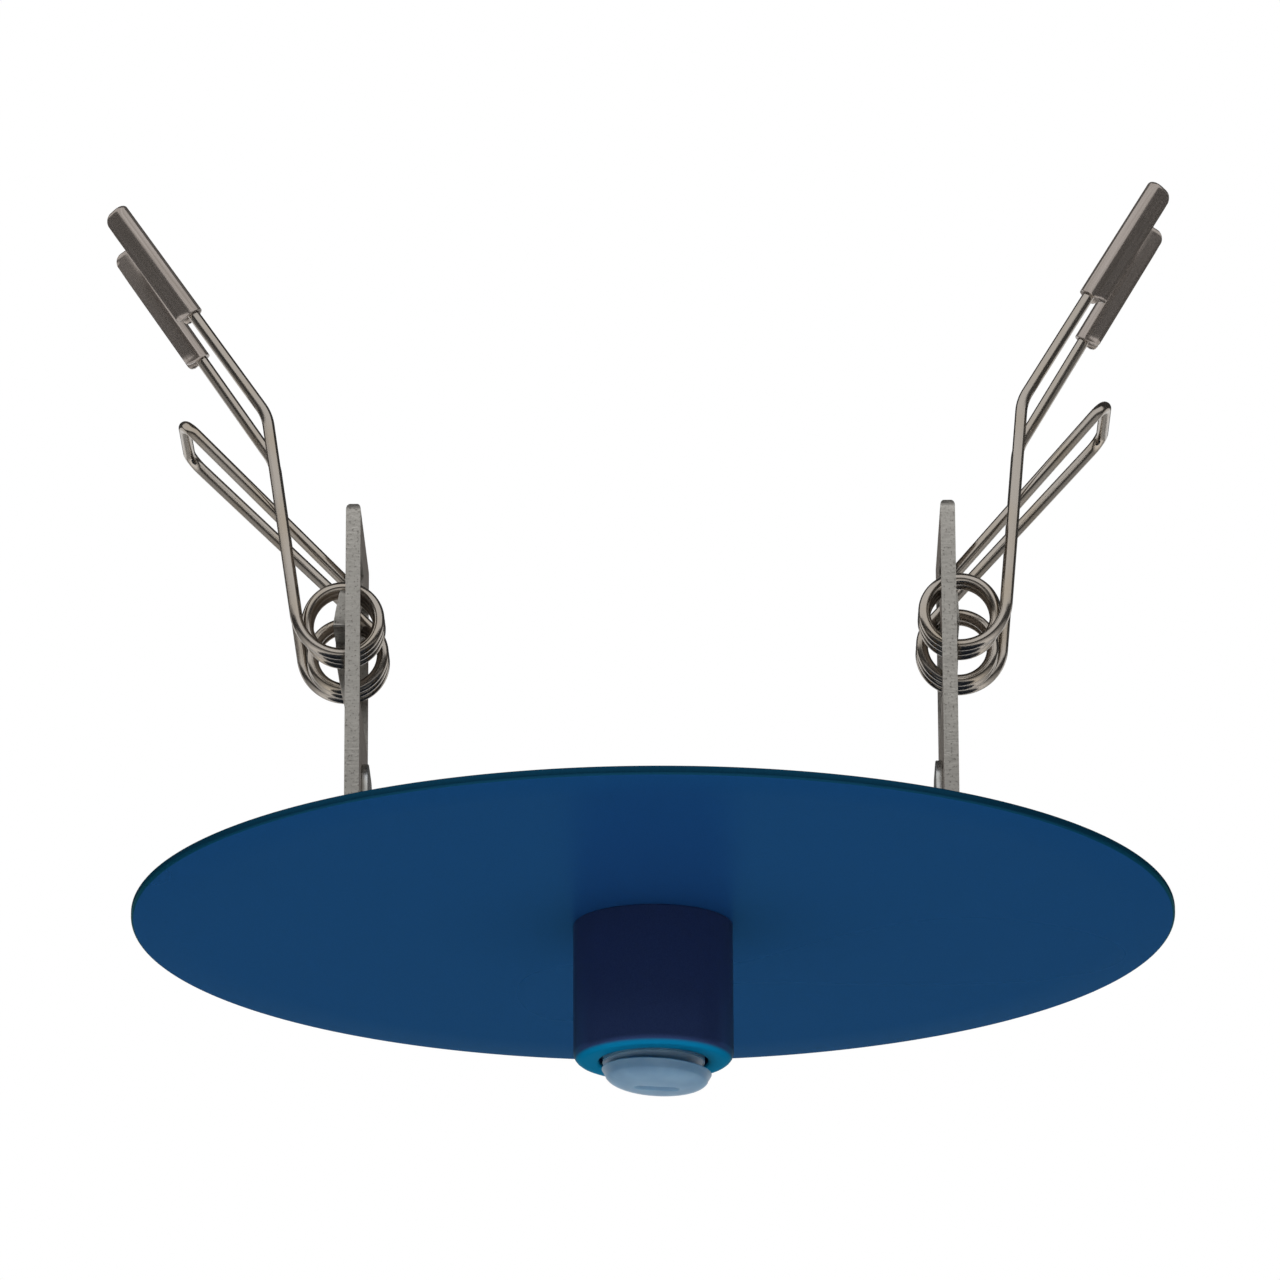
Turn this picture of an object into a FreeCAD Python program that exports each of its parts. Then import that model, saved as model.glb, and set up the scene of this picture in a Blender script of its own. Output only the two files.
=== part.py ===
"""Sprung ceiling cover plate with an outlet hub, held by two double torsion springs.

Frame: +Z up as installed, millimetres. The origin is on the hub's axis in the ceiling plane,
which is the plate's back face. The hub hangs down, the brackets and springs stand up, and the
brackets face each other along X. The left side is the right side turned half a turn about Z.
"""
import FreeCAD, Part
import math
import os
import Sketcher

SIZES = [
    # cover plate
    ("plate_diameter", 120.0), ("plate_thick", 1.0), ("plate_edge_round", 0.4),
    # hub under the plate, with a threaded mouth
    ("hub_diameter", 18.4), ("hub_length", 16.3), ("hub_end_round", 1.2), ("mouth_diameter", 12.5),
    ("mouth_depth", 8.6),
    # slotted plug in the hub's mouth
    ("plug_clearance", 0.05), ("plug_engaged", 6.0), ("plug_neck_diameter", 10.6),
    ("plug_neck_length", 1.0), ("plug_rim_diameter", 12.6), ("plug_rim_thick", 0.6),
    ("plug_dome_height", 1.6), ("slot_length", 5.2), ("slot_width", 0.9), ("slot_depth", 0.8),
    # hollow stud that joins hub, plate and strap
    ("nipple_diameter", 10.0), ("nipple_bore", 8.0), ("nipple_above", 8.6), ("nipple_below", 7.5),
    ("thread_clearance", 0.05), ("hole_clearance", 0.15), ("hub_nut_across", 14.0),
    ("hub_nut_thick", 3.0), ("nut_chamfer", 0.6), ("lock_washer_diameter", 15.0),
    ("lock_washer_thick", 1.4), ("washer_split", 0.8),
    # mounting strap across the plate's back, with upturned ends
    ("strap_width", 13.0), ("strap_thick", 0.8), ("strap_bend", 1.2), ("tab_top", 17.6),
    ("tab_corner", 3.5),
    # welded studs that stop the strap turning
    ("stud_offset", 21.0), ("stud_diameter", 4.0), ("stud_length", 7.0), ("stud_washer_diameter", 9.0),
    ("stud_washer_thick", 0.8), ("stud_nut_across", 7.0), ("stud_nut_thick", 3.2),
    # brackets, each with two windows, and a raised strip between them that carries two horns
    ("bracket_inner", 33.45), ("bracket_thick", 1.7), ("bracket_width", 24.0), ("bracket_top", 46.9),
    ("bracket_corner", 1.6), ("foot_gap", 0.3), ("rail_width", 1.2), ("window_low", 23.0),
    ("strip_width", 4.6), ("left_bulge", 1.5), ("right_bulge", 0.4), ("strip_rise", 3.6),
    ("horn_entry_gap", 1.8), ("horn_below", 1.3), ("horn_clearance", 0.25), ("stop_clearance", 0.15),
    # rivets, bracket to strap end
    ("rivet_diameter", 3.0), ("rivet_head_diameter", 5.4), ("rivet_head_high", 0.7),
    ("rivet_height", 9.5), ("rivet_spread", 6.4),
    # springs
    ("wire_diameter", 1.4), ("coil_radius", 4.15), ("coil_outward", 2.2), ("coil_axis_z", 33.8),
    ("coil_pitch", 1.72), ("whole_turns", 2.0), ("coil_rail_gap", 0.3), ("entry_widening", 1.2),
    ("spring_play", 0.9), ("left_rest_angle", 3.2), ("right_rest_angle", 0.0),
    ("arm_lean_angle", 5.1), ("arm_lower", 24.9), ("arm_bend", 5.5), ("arm_bend_inset", 0.35),
    ("arm_upper_angle", 31.2), ("arm_upper", 31.3), ("arm_tip_inset", 1.8), ("loop_lean_angle", 41.4),
    ("loop_length", 31.0), ("loop_inset", 2.4), ("loop_corner", 2.0), ("wire_cut", 0.1),
    # folded sleeves on the arm ends, each crimped a little turned on its wire
    ("sleeve_length", 16.3), ("sleeve_overhang", 0.4), ("sleeve_wall", 0.4), ("sleeve_flank", 1.8),
    ("sleeve_clearance", 0.02), ("right_near_roll", 35.0), ("right_far_roll", 10.0),
    ("left_near_roll", -25.0), ("left_far_roll", -8.0),
]

DOC = FreeCAD.newDocument("sprung_cover_plate")
SHEET = DOC.addObject("Spreadsheet::Sheet", "Sizes")
for row, (alias, number) in enumerate(SIZES, start=1):
    SHEET.set("A%d" % row, alias)
    SHEET.set("B%d" % row, str(number))
    SHEET.setAlias("B%d" % row, alias)
DOC.recompute()

NAMES = {alias for alias, _ in SIZES}
UP = FreeCAD.Vector(0, 0, 1)
ALONG_Y = FreeCAD.Vector(0, 1, 0)
COIL_STEP = 30.0  # degrees of each arc along a coil
ROOT_OF_THREE = 1.7320508  # a hexagon's width across flats over its corner's radius
SUBPARTS = []


def size(alias):
    """The number that the sheet holds under an alias."""
    return float(SHEET.get(alias))


def bound(words):
    """An expression in which each alias points at the sheet."""
    tokens = words.replace("(", " ( ").replace(")", " ) ").split()
    return " ".join("Sizes." + token if token in NAMES else token for token in tokens)


def bind(thing, **properties):
    """Ties properties of an object to expressions; a double underscore stands for a dot."""
    for name, words in properties.items():
        thing.setExpression(name.replace("__", "."), bound(words))
    return thing


def keep(thing, label):
    """Names a finished sub-part."""
    thing.Label = label
    SUBPARTS.append(thing)
    return thing


# ---------------------------------------------------------------- primitives and booleans

def box(name, x, y, z, length, width, height):
    """A box from its lowest corner and its three sides."""
    made = DOC.addObject("Part::Box", name)
    return bind(made, Length=length, Width=width, Height=height, Placement__Base__x=x,
                Placement__Base__y=y, Placement__Base__z=z)


def cylinder(name, radius, height, x="0", y="0", z="0"):
    """An upright cylinder from the middle of its lower end."""
    made = DOC.addObject("Part::Cylinder", name)
    return bind(made, Radius=radius, Height=height, Placement__Base__x=x, Placement__Base__y=y,
                Placement__Base__z=z)


def cross_cylinder(name, radius, length, x, y, z):
    """A cylinder that runs along +X from a point."""
    made = DOC.addObject("Part::Cylinder", name)
    made.Placement.Rotation = FreeCAD.Rotation(ALONG_Y, 90)
    return bind(made, Radius=radius, Height=length, Placement__Base__x=x, Placement__Base__y=y,
                Placement__Base__z=z)


def fuse(name, *things):
    """Joins solids into one."""
    made = DOC.addObject("Part::MultiFuse", name)
    made.Shapes = list(things)
    made.Refine = True
    return made


def cut(name, base, *tools):
    """Takes solids away from a base."""
    for index, tool in enumerate(tools):
        made = DOC.addObject("Part::Cut", "%s_cut%d" % (name, index))
        made.Base = base
        made.Tool = tool
        base = made
    return base


def common(name, one, other):
    """What two solids share."""
    made = DOC.addObject("Part::Common", name)
    made.Base = one
    made.Tool = other
    return made


def group(name, things):
    """Separate solids that share one node."""
    made = DOC.addObject("Part::Compound", name)
    made.Links = list(things)
    return made


def rounded(name, base, radius, chosen):
    """Rounds the straight edges for which chosen(middle, direction) holds."""
    DOC.recompute()
    edges = []
    for index, edge in enumerate(base.Shape.Edges, start=1):
        if isinstance(edge.Curve, Part.Line):
            ends = [vertex.Point for vertex in edge.Vertexes]
            if chosen((ends[0] + ends[1]) * 0.5, (ends[1] - ends[0]).normalize()):
                edges.append((index, radius, radius))
    made = DOC.addObject("Part::Fillet", name)
    made.Base = base
    made.Edges = edges
    return made


# ---------------------------------------------------------------- bodies and sketches

def body_plane(body, role):
    """One of a body's own origin planes."""
    return next(item for item in body.Origin.OriginFeatures if item.Role == role)


def outline_sketch(body, name, role, corners):
    """A closed outline on an origin plane; corners are pairs of expressions, "0" for an axis."""
    sketch = body.newObject("Sketcher::SketchObject", name)
    sketch.AttachmentSupport = [(body_plane(body, role), "")]
    sketch.MapMode = "FlatFace"
    count = len(corners)
    places = [FreeCAD.Vector(size_of(across), size_of(up), 0) for across, up in corners]
    for index in range(count):
        sketch.addGeometry(Part.LineSegment(places[index], places[(index + 1) % count]))
    for index in range(count):
        sketch.addConstraint(Sketcher.Constraint("Coincident", index, 2, (index + 1) % count, 1))
    for index, corner in enumerate(corners):
        for kind, axis, place, words in (("DistanceX", -2, places[index].x, corner[0]),
                                         ("DistanceY", -1, places[index].y, corner[1])):
            if words == "0":
                sketch.addConstraint(Sketcher.Constraint("PointOnObject", index, 1, axis))
            else:
                held = sketch.addConstraint(Sketcher.Constraint(kind, -1, 1, index, 1, place))
                sketch.setExpression("Constraints[%d]" % held, bound(words))
    return sketch


def size_of(words):
    """What an expression of aliases and numbers comes to: products and quotients, then sums."""
    total, factor, sign, divide = 0.0, None, 1.0, False
    for token in words.split() + ["+"]:
        if token in "+-":
            total += 0.0 if factor is None else sign * factor
            sign, factor, divide = (-1.0 if token == "-" else 1.0), None, False
        elif token in "*/":
            divide = token == "/"
        else:
            number = size(token) if token in NAMES else float(token)
            factor = number if factor is None else factor / number if divide else factor * number
    return total


def turned_body(name, corners):
    """A body made by turning an outline, given as radius and height, about Z."""
    body = DOC.addObject("PartDesign::Body", name + "_body")
    sketch = outline_sketch(body, name + "_outline", "XZ_Plane", corners)
    turned = body.newObject("PartDesign::Revolution", name + "_turned")
    turned.Profile = sketch
    turned.ReferenceAxis = (sketch, ["V_Axis"])
    turned.Angle = 360.0
    return body


def padded_body(name, role, corners, length):
    """A body made by padding an outline both ways from an origin plane."""
    body = DOC.addObject("PartDesign::Body", name + "_body")
    sketch = outline_sketch(body, name + "_outline", role, corners)
    pad = body.newObject("PartDesign::Pad", name + "_pad")
    pad.Profile = sketch
    pad.SideType = "Symmetric"
    bind(pad, Length=length)
    return body


def rounded_rims(body, name, radius, chosen):
    """Rounds the round edges of a turned body for which chosen(radius, height) holds."""
    DOC.recompute()
    solid = body.Tip
    edges = ["Edge%d" % index for index, edge in enumerate(solid.Shape.Edges, start=1)
             if isinstance(edge.Curve, Part.Circle) and chosen(edge.Curve.Radius, edge.Curve.Center.z)]
    fillet = body.newObject("PartDesign::Fillet", name + "_round")
    fillet.Base = (solid, edges)
    bind(fillet, Radius=radius)
    body.Tip = fillet
    return body


def near(one, other):
    """Whether two measures are the same."""
    return abs(one - other) < 1e-4


def ring(name, outer, inner, low, high):
    """A turned ring between two heights."""
    return turned_body(name, [(inner, low), (outer, low), (outer, high), (inner, high)])


def hex_nut(name, across, bore, low, thick):
    """A hexagonal nut, chamfered at both ends, with its thread as a plain bore."""
    corner = "%s / %s" % (across, ROOT_OF_THREE)
    shoulder = corner + " - nut_chamfer"
    high = low + " + " + thick
    slope = "nut_chamfer / %s" % ROOT_OF_THREE
    barrel = turned_body(name, [(bore, low), (shoulder, low), (corner, low + " + " + slope),
                                (corner, high + " - " + slope), (shoulder, high), (bore, high)])
    prism = DOC.addObject("Part::Prism", name + "_prism")
    prism.Polygon = 6
    bind(prism, Circumradius=corner, Height=thick, Placement__Base__z=low)
    return common(name + "_nut", barrel, prism)


# ---------------------------------------------------------------- plate, hub and plug

def make_plate():
    """The cover plate, one round sheet with a hole for the hollow stud."""
    body = ring("plate", "plate_diameter / 2", "nipple_diameter / 2 + hole_clearance",
                "0 - plate_thick", "0")
    rounded_rims(body, "plate", "plate_edge_round",
                 lambda radius, height: near(radius, size("plate_diameter") / 2) and height < 0)
    keep(body, "cover_plate")


def make_hub():
    """The hub: a tube with a narrow bore for the hollow stud above and a wide mouth below."""
    end = "0 - plate_thick - hub_length"
    bore = "nipple_diameter / 2 + thread_clearance"
    body = turned_body("hub", [(bore, "0 - plate_thick"), ("hub_diameter / 2", "0 - plate_thick"),
                               ("hub_diameter / 2", end), ("mouth_diameter / 2", end),
                               ("mouth_diameter / 2", end + " + mouth_depth"),
                               (bore, end + " + mouth_depth")])
    rounded_rims(body, "hub", "hub_end_round",
                 lambda radius, height: near(radius, size("hub_diameter") / 2)
                 and height < -size("hub_length"))
    keep(body, "hub_tube")


def make_plug():
    """The screw plug: shank, neck, rim and a domed end with a screwdriver slot."""
    hub_end = "0 - plate_thick - hub_length"
    rim_top = hub_end + " - plug_neck_length"
    rim_low = rim_top + " - plug_rim_thick"
    bottom = rim_low + " - plug_dome_height"
    shank = "mouth_diameter / 2 - plug_clearance"
    body = turned_body("plug", [("0", bottom), ("plug_rim_diameter / 2", bottom),
                                ("plug_rim_diameter / 2", rim_top), ("plug_neck_diameter / 2", rim_top),
                                ("plug_neck_diameter / 2", hub_end), (shank, hub_end),
                                (shank, hub_end + " + plug_engaged"), ("0", hub_end + " + plug_engaged")])
    rounded_rims(body, "plug", "plug_dome_height",
                 lambda radius, height: near(radius, size("plug_rim_diameter") / 2)
                 and near(height, size_of(bottom)))
    slot = box("plug_slot", "0 - slot_length / 2", "0 - slot_width / 2", bottom + " - slot_depth",
               "slot_length", "slot_width", "2 * slot_depth")
    keep(cut("plug", body, slot), "slotted_plug")


def make_hub_fixing():
    """The hollow stud through hub, plate and strap, with its lock washer and nut."""
    bore = "nipple_diameter / 2 + thread_clearance"
    keep(ring("nipple", "nipple_diameter / 2", "nipple_bore / 2", "0 - plate_thick - nipple_below",
              "nipple_above"), "hub_nipple")
    washer_top = "strap_thick + lock_washer_thick"
    washer = ring("lock_washer", "lock_washer_diameter / 2", "nipple_diameter / 2 + hole_clearance",
                  "strap_thick", washer_top)
    split = box("washer_split_tool", "0", "0 - washer_split / 2", "0", "lock_washer_diameter",
                "washer_split", "2 * lock_washer_thick + strap_thick")
    keep(cut("lock_washer", washer, split), "hub_lock_washer")
    keep(hex_nut("hub", "hub_nut_across", bore, washer_top, "hub_nut_thick"), "hub_nut")


# ---------------------------------------------------------------- strap and its studs

def make_strap():
    """The strap: a flat strip across the plate's back, turned up against both brackets."""
    inner = "bracket_inner - strap_thick"
    corners = [("0 - bracket_inner", "0"), ("bracket_inner", "0"), ("bracket_inner", "tab_top"),
               (inner, "tab_top"), (inner, "strap_thick"), ("0 - " + inner.replace("-", "+"), "strap_thick"),
               ("0 - " + inner.replace("-", "+"), "tab_top"), ("0 - bracket_inner", "tab_top")]
    body = padded_body("strap", "XZ_Plane", corners, "strap_width")
    reach, thick, top = size("bracket_inner"), size("strap_thick"), size("tab_top")
    bent = rounded("strap_outer_bends", body, size("strap_bend") + thick,
                   lambda middle, way: near(abs(way.y), 1) and near(middle.z, 0)
                   and near(abs(middle.x), reach))
    bent = rounded("strap_inner_bends", bent, size("strap_bend"),
                   lambda middle, way: near(abs(way.y), 1) and near(middle.z, thick)
                   and near(abs(middle.x), reach - thick))
    bent = rounded("strap_corners", bent, size("tab_corner"),
                   lambda middle, way: near(abs(way.x), 1) and near(middle.z, top))
    holes = [cylinder("strap_hub_hole", "nipple_diameter / 2 + hole_clearance",
                      "strap_thick + 2 * strap_thick", z="0 - strap_thick")]
    for side in ("0 - ", "0 + "):
        holes.append(cylinder("strap_stud_hole", "stud_diameter / 2 + hole_clearance",
                              "strap_thick + 2 * strap_thick", x=side + "stud_offset",
                              z="0 - strap_thick"))
    for spread in ("0 - ", "0 + "):
        holes.append(cross_cylinder("strap_rivet_hole", "rivet_diameter / 2",
                                    "2 * bracket_inner + 2 * strap_thick",
                                    "0 - bracket_inner - strap_thick", spread + "rivet_spread / 2",
                                    "rivet_height"))
    keep(cut("strap", bent, *holes), "mounting_strap")


def make_studs():
    """Two studs welded to the plate's back, with washers and nuts that clamp the strap."""
    studs, washers, nuts = [], [], []
    washer_top = "strap_thick + stud_washer_thick"
    for side, way in (("left", "0 - "), ("right", "0 + ")):
        place = {"Placement__Base__x": way + "stud_offset"}
        studs.append(cylinder(side + "_stud", "stud_diameter / 2", "stud_length",
                              x=way + "stud_offset"))
        washers.append(bind(ring(side + "_stud_washer", "stud_washer_diameter / 2",
                                 "stud_diameter / 2 + hole_clearance", "strap_thick", washer_top),
                            **place))
        nuts.append(bind(hex_nut(side + "_stud", "stud_nut_across",
                                 "stud_diameter / 2 + thread_clearance", washer_top,
                                 "stud_nut_thick"), **place))
    keep(group("studs", studs), "weld_studs")
    keep(group("stud_washer_pair", washers), "stud_washers")
    keep(group("stud_nut_pair", nuts), "stud_nuts")


# ---------------------------------------------------------------- brackets

def coil_axis_x():
    """Where the coil's axis stands, just outside the middle of the bracket."""
    return size("bracket_inner") + size("coil_outward")


def coil_outer():
    """How far from the middle the coil's outermost turn lies, beside the bracket's rail."""
    window = size("bracket_width") / 2 - size("rail_width")
    return window - size("coil_rail_gap") - size("spring_play") - size("wire_diameter") / 2


def loop_outer():
    """How far from the middle the loop's bars end, at the crossbar."""
    return coil_outer() - size("loop_inset")


def window_top():
    """The window's upper edge, on which the spring's loop rests at its stop."""
    lean = math.radians(size("loop_lean_angle"))
    outer_face = size("bracket_inner") + size("bracket_thick") - coil_axis_x()
    standoff = size("coil_radius") + size("wire_diameter") / 2 + size("stop_clearance")
    return size("coil_axis_z") + (standoff + outer_face * math.cos(lean)) / math.sin(lean)


def horn_top(side):
    """The horn's upper edge, under the upper side of the coil that hangs on it."""
    inner = size("bracket_inner") + size(side + "_bulge") - coil_axis_x()
    corner = max(abs(inner), abs(inner + size("bracket_thick")))
    free = size("coil_radius") - size("wire_diameter") / 2 - size("horn_clearance")
    return size("coil_axis_z") + math.sqrt(free ** 2 - corner ** 2)


def make_bracket(side):
    """One bracket: a plate with two windows and a raised strip with a horn each way."""
    foot = "strap_thick + strap_bend + foot_gap"
    top, horn, bulge = "%.6f" % window_top(), "%.6f" % horn_top(side), side + "_bulge"
    outer = "bracket_inner + bracket_thick"
    plate = box(side + "_bracket_plate", "bracket_inner", "0 - bracket_width / 2", foot,
                "bracket_thick", "bracket_width", "bracket_top - strap_thick - strap_bend - foot_gap")
    head = size("bracket_top")
    plate = rounded(side + "_bracket_corners", plate, size("bracket_corner"),
                    lambda middle, way: near(abs(way.x), 1) and near(middle.z, head))
    window = box(side + "_bracket_window", "bracket_inner - bracket_thick",
                 "rail_width - bracket_width / 2", "window_low", "3 * bracket_thick",
                 "bracket_width - 2 * rail_width", top + " - window_low")
    strip = padded_body(side + "_strip", "XZ_Plane", [
        ("bracket_inner", "window_low"), (outer, "window_low"),
        (outer + " + " + bulge, "window_low + strip_rise"),
        (outer + " + " + bulge, top + " - strip_rise"), (outer, top), ("bracket_inner", top),
        ("bracket_inner + " + bulge, top + " - strip_rise"),
        ("bracket_inner + " + bulge, "window_low + strip_rise")], "strip_width")
    horns = box(side + "_horns", "bracket_inner + " + bulge,
                "rail_width + horn_entry_gap - bracket_width / 2", "coil_axis_z - horn_below",
                "bracket_thick", "bracket_width - 2 * rail_width - 2 * horn_entry_gap",
                horn + " - coil_axis_z + horn_below")
    whole = fuse(side + "_bracket_whole", cut(side + "_bracket_frame", plate, window), strip, horns)
    holes = [cross_cylinder(side + "_rivet_hole", "rivet_diameter / 2", "3 * bracket_thick",
                            "bracket_inner - bracket_thick", spread + "rivet_spread / 2",
                            "rivet_height") for spread in ("0 - ", "0 + ")]
    bracket = cut(side + "_bracket", whole, *holes)
    bracket.Placement = side_turn(side)
    keep(bracket, side + "_bracket")


def make_rivets(side):
    """The two rivets that hold one bracket to the strap's upturned end."""
    rivets = []
    for row, spread in enumerate(("0 - ", "0 + ")):
        low = "bracket_inner - strap_thick"
        name = "%s_rivet%d" % (side, row)
        shank = cross_cylinder(name + "_shank", "rivet_diameter / 2", "strap_thick + bracket_thick",
                               low, spread + "rivet_spread / 2", "rivet_height")
        heads = [cross_cylinder(name + "_head", "rivet_head_diameter / 2", "rivet_head_high", place,
                                spread + "rivet_spread / 2", "rivet_height")
                 for place in (low + " - rivet_head_high", "bracket_inner + bracket_thick")]
        rivets.append(fuse(name, shank, *heads))
    pair = group(side + "_rivet_pair", rivets)
    pair.Placement = side_turn(side)
    keep(pair, side + "_bracket_rivets")


# ---------------------------------------------------------------- springs

def side_turn(side):
    """The left side is the right side turned half a turn about Z."""
    return FreeCAD.Placement(FreeCAD.Vector(), FreeCAD.Rotation(UP, 180 if side == "left" else 0))


def spring_place(side):
    """Where a side's spring stands: turned outward from its stop about the coil's axis."""
    axis = FreeCAD.Vector(coil_axis_x(), 0, size("coil_axis_z"))
    rest = FreeCAD.Placement(FreeCAD.Vector(), FreeCAD.Rotation(ALONG_Y, size(side + "_rest_angle")), axis)
    return side_turn(side).multiply(rest)


def leaning(degrees):
    """A unit vector in the XZ plane that leans outward from upright."""
    return FreeCAD.Vector(math.sin(math.radians(degrees)), 0, math.cos(math.radians(degrees)))


def coil_point(half, turned):
    """A point of the coil's centre line, turned degrees on from its lowest outer point."""
    angle = math.radians(-90 - turned)
    depth = coil_depth(turned) + swing_out(turned)
    return FreeCAD.Vector(coil_axis_x() + size("coil_radius") * math.cos(angle),
                          half * depth - size("spring_play"),
                          size("coil_axis_z") + size("coil_radius") * math.sin(angle))


def coil_depth(turned):
    """How far out along Y the evenly wound coil lies."""
    return coil_outer() - size("coil_pitch") * (entry_turn() + turned) / 360


def swing_out(turned):
    """How much further out the coil's last part lies, as it turns to run on into the loop's bar."""
    swing = COIL_STEP * math.pi / 180 * size("coil_radius")
    run = max(0.0, turned - coil_turn() + COIL_STEP) * math.pi / 180 * size("coil_radius")
    coil_slope = size("coil_pitch") / (2 * math.pi * size("coil_radius"))
    bar_slope = (loop_outer() - coil_depth(coil_turn())) / size("loop_length")
    return (coil_slope + bar_slope) * run ** 2 / (2 * swing)


def entry_turn():
    """How far the wire turns in from the lower arm to the coil's lowest point."""
    return 90 - size("arm_lean_angle")


def coil_turn():
    """How far the wire turns from the coil's lowest outer point to where the loop leaves."""
    return 360 * size("whole_turns") + 90 + size("loop_lean_angle")


def entry_point(half, turned):
    """A point of the wider arc by which the arm comes into the coil."""
    radius = size("coil_radius") + size("entry_widening")
    angle = math.radians(-size("arm_lean_angle") - turned)
    depth = coil_outer() - size("coil_pitch") * turned / 360
    return FreeCAD.Vector(coil_axis_x() + radius * math.cos(angle),
                          half * depth - size("spring_play"),
                          size("coil_axis_z") + size("entry_widening") + radius * math.sin(angle))


def arc(*points):
    """An arc through three points."""
    return Part.Arc(*points).toShape()


def straight(start, end):
    """A straight run."""
    return Part.LineSegment(start, end).toShape()


def bend(before, corner, after, radius):
    """A tangent arc that rounds a corner, with the points where it starts and ends."""
    back = (before - corner).normalize()
    ahead = (after - corner).normalize()
    half_angle = back.getAngle(ahead) / 2
    start = corner + back * (radius / math.tan(half_angle))
    end = corner + ahead * (radius / math.tan(half_angle))
    middle = corner + (back + ahead).normalize() * (radius / math.sin(half_angle) - radius)
    return arc(start, middle, end), start, end


def coil_way(half, turned, onward):
    """The direction of the coil's centre line at an angle, for more or for less turn."""
    step = COIL_STEP / 1000 * onward
    return (coil_point(half, turned + step) - coil_point(half, turned - step)).normalize()


def coil_arcs(half, first, last):
    """Arcs along the coil between two angles, each running on in line with the one before."""
    count = max(1, round(abs(last - first) / COIL_STEP))
    points = [coil_point(half, first + (last - first) * step / count) for step in range(count + 1)]
    way = coil_way(half, first, math.copysign(1, last - first))
    edges = []
    for start, end in zip(points, points[1:]):
        chord = (end - start).normalize()
        aside = (way - chord * way.dot(chord)).normalize()
        rise = math.tan(way.getAngle(chord) / 2) * start.distanceToPoint(end) / 2
        edges.append(arc(start, (start + end) * 0.5 + aside * rise, end))
        way = chord * (2 * way.dot(chord)) - way
    return edges


def round_wire(edges):
    """A round wire swept along edges that run on from one another."""
    path = Part.Wire(edges)
    first = path.OrderedEdges[0]
    start = path.OrderedVertexes[0].Point
    forward = start.isEqual(first.valueAt(first.FirstParameter), 1e-6)
    way = first.tangentAt(first.FirstParameter if forward else first.LastParameter)
    section = Part.Wire([Part.Circle(start, way, size("wire_diameter") / 2).toShape()])
    return path.makePipeShell([section], True, False)


def arm_points(half):
    """The arm's tip, its bend's corner and the point where it meets its entry arc."""
    play = FreeCAD.Vector(0, size("spring_play"), 0)
    foot = entry_point(half, 0)
    corner = foot + leaning(size("arm_lean_angle")) * size("arm_lower")
    corner.y = half * (coil_outer() - size("arm_bend_inset")) - play.y
    tip = corner + leaning(size("arm_upper_angle")) * size("arm_upper")
    tip.y = half * (coil_outer() - size("arm_tip_inset")) - play.y
    return tip, corner, foot


def make_arm(side, half, label):
    """One arm: straight, bend, straight, the entry arc and the coil's first quarter turn."""
    tip, corner, foot = arm_points(half)
    rounding, start, end = bend(tip, corner, foot, size("arm_bend"))
    entry = [entry_point(half, entry_turn() * part / 4) for part in range(5)]
    edges = [straight(tip, start), rounding, straight(end, foot), arc(*entry[0:3]), arc(*entry[2:5])]
    edges += coil_arcs(half, 0, 90)
    made = DOC.addObject("Part::Feature", label + "_wire")
    made.Shape = round_wire(edges)
    made.Placement = spring_place(side)
    keep(made, label)


def make_loop(side):
    """Both coils' further turns, the two bars that run out from them and the crossbar."""
    bars, ends = [], []
    for half in (-1, 1):
        start = coil_point(half, coil_turn())
        end = start + leaning(size("loop_lean_angle")) * size("loop_length")
        end.y = half * loop_outer() - size("spring_play")
        bars.append(start)
        ends.append(end)
    near_bend, near_start, near_end = bend(bars[0], ends[0], ends[1], size("loop_corner"))
    far_bend, far_start, far_end = bend(ends[0], ends[1], bars[1], size("loop_corner"))
    first = 90 + math.degrees(size("wire_cut") / size("coil_radius"))
    edges = coil_arcs(-1, first, coil_turn())
    edges += [straight(bars[0], near_start), near_bend, straight(near_end, far_start)]
    edges += [far_bend, straight(far_end, bars[1])] + coil_arcs(1, coil_turn(), first)
    made = DOC.addObject("Part::Feature", side + "_loop_wire")
    made.Shape = round_wire(edges)
    made.Placement = spring_place(side)
    keep(made, side + "_spring_loop")


def make_sleeve(side, half, label, roll_name):
    """A folded sheet sleeve whose round back holds the arm's end and whose sides stay open."""
    tip, corner, _ = arm_points(half)
    along = (tip - corner).normalize()
    across = FreeCAD.Vector(along.z, 0, -along.x).normalize()
    room = "wire_diameter / 2 + sleeve_clearance"
    back = cylinder(label + "_back", room + " + sleeve_wall", "sleeve_length")
    sides = box(label + "_sides", "0", "0 - wire_diameter / 2 - sleeve_clearance - sleeve_wall", "0",
                "sleeve_flank", "wire_diameter + 2 * sleeve_clearance + 2 * sleeve_wall",
                "sleeve_length")
    hollow = cylinder(label + "_hollow", room, "sleeve_length")
    gap = box(label + "_gap", "0", "0 - wire_diameter / 2 - sleeve_clearance", "0", "2 * sleeve_flank",
              "wire_diameter + 2 * sleeve_clearance", "sleeve_length")
    sleeve = cut(label + "_sleeve", fuse(label + "_outside", back, sides),
                 fuse(label + "_inside", hollow, gap))
    foot = tip + along * (size("sleeve_overhang") - size("sleeve_length"))
    frame = FreeCAD.Placement(foot, FreeCAD.Rotation(across, along.cross(across), along, "ZXY"))
    roll = FreeCAD.Placement(FreeCAD.Vector(), FreeCAD.Rotation(UP, size(roll_name)))
    sleeve.Placement = spring_place(side).multiply(frame).multiply(roll)
    keep(sleeve, label)


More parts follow.
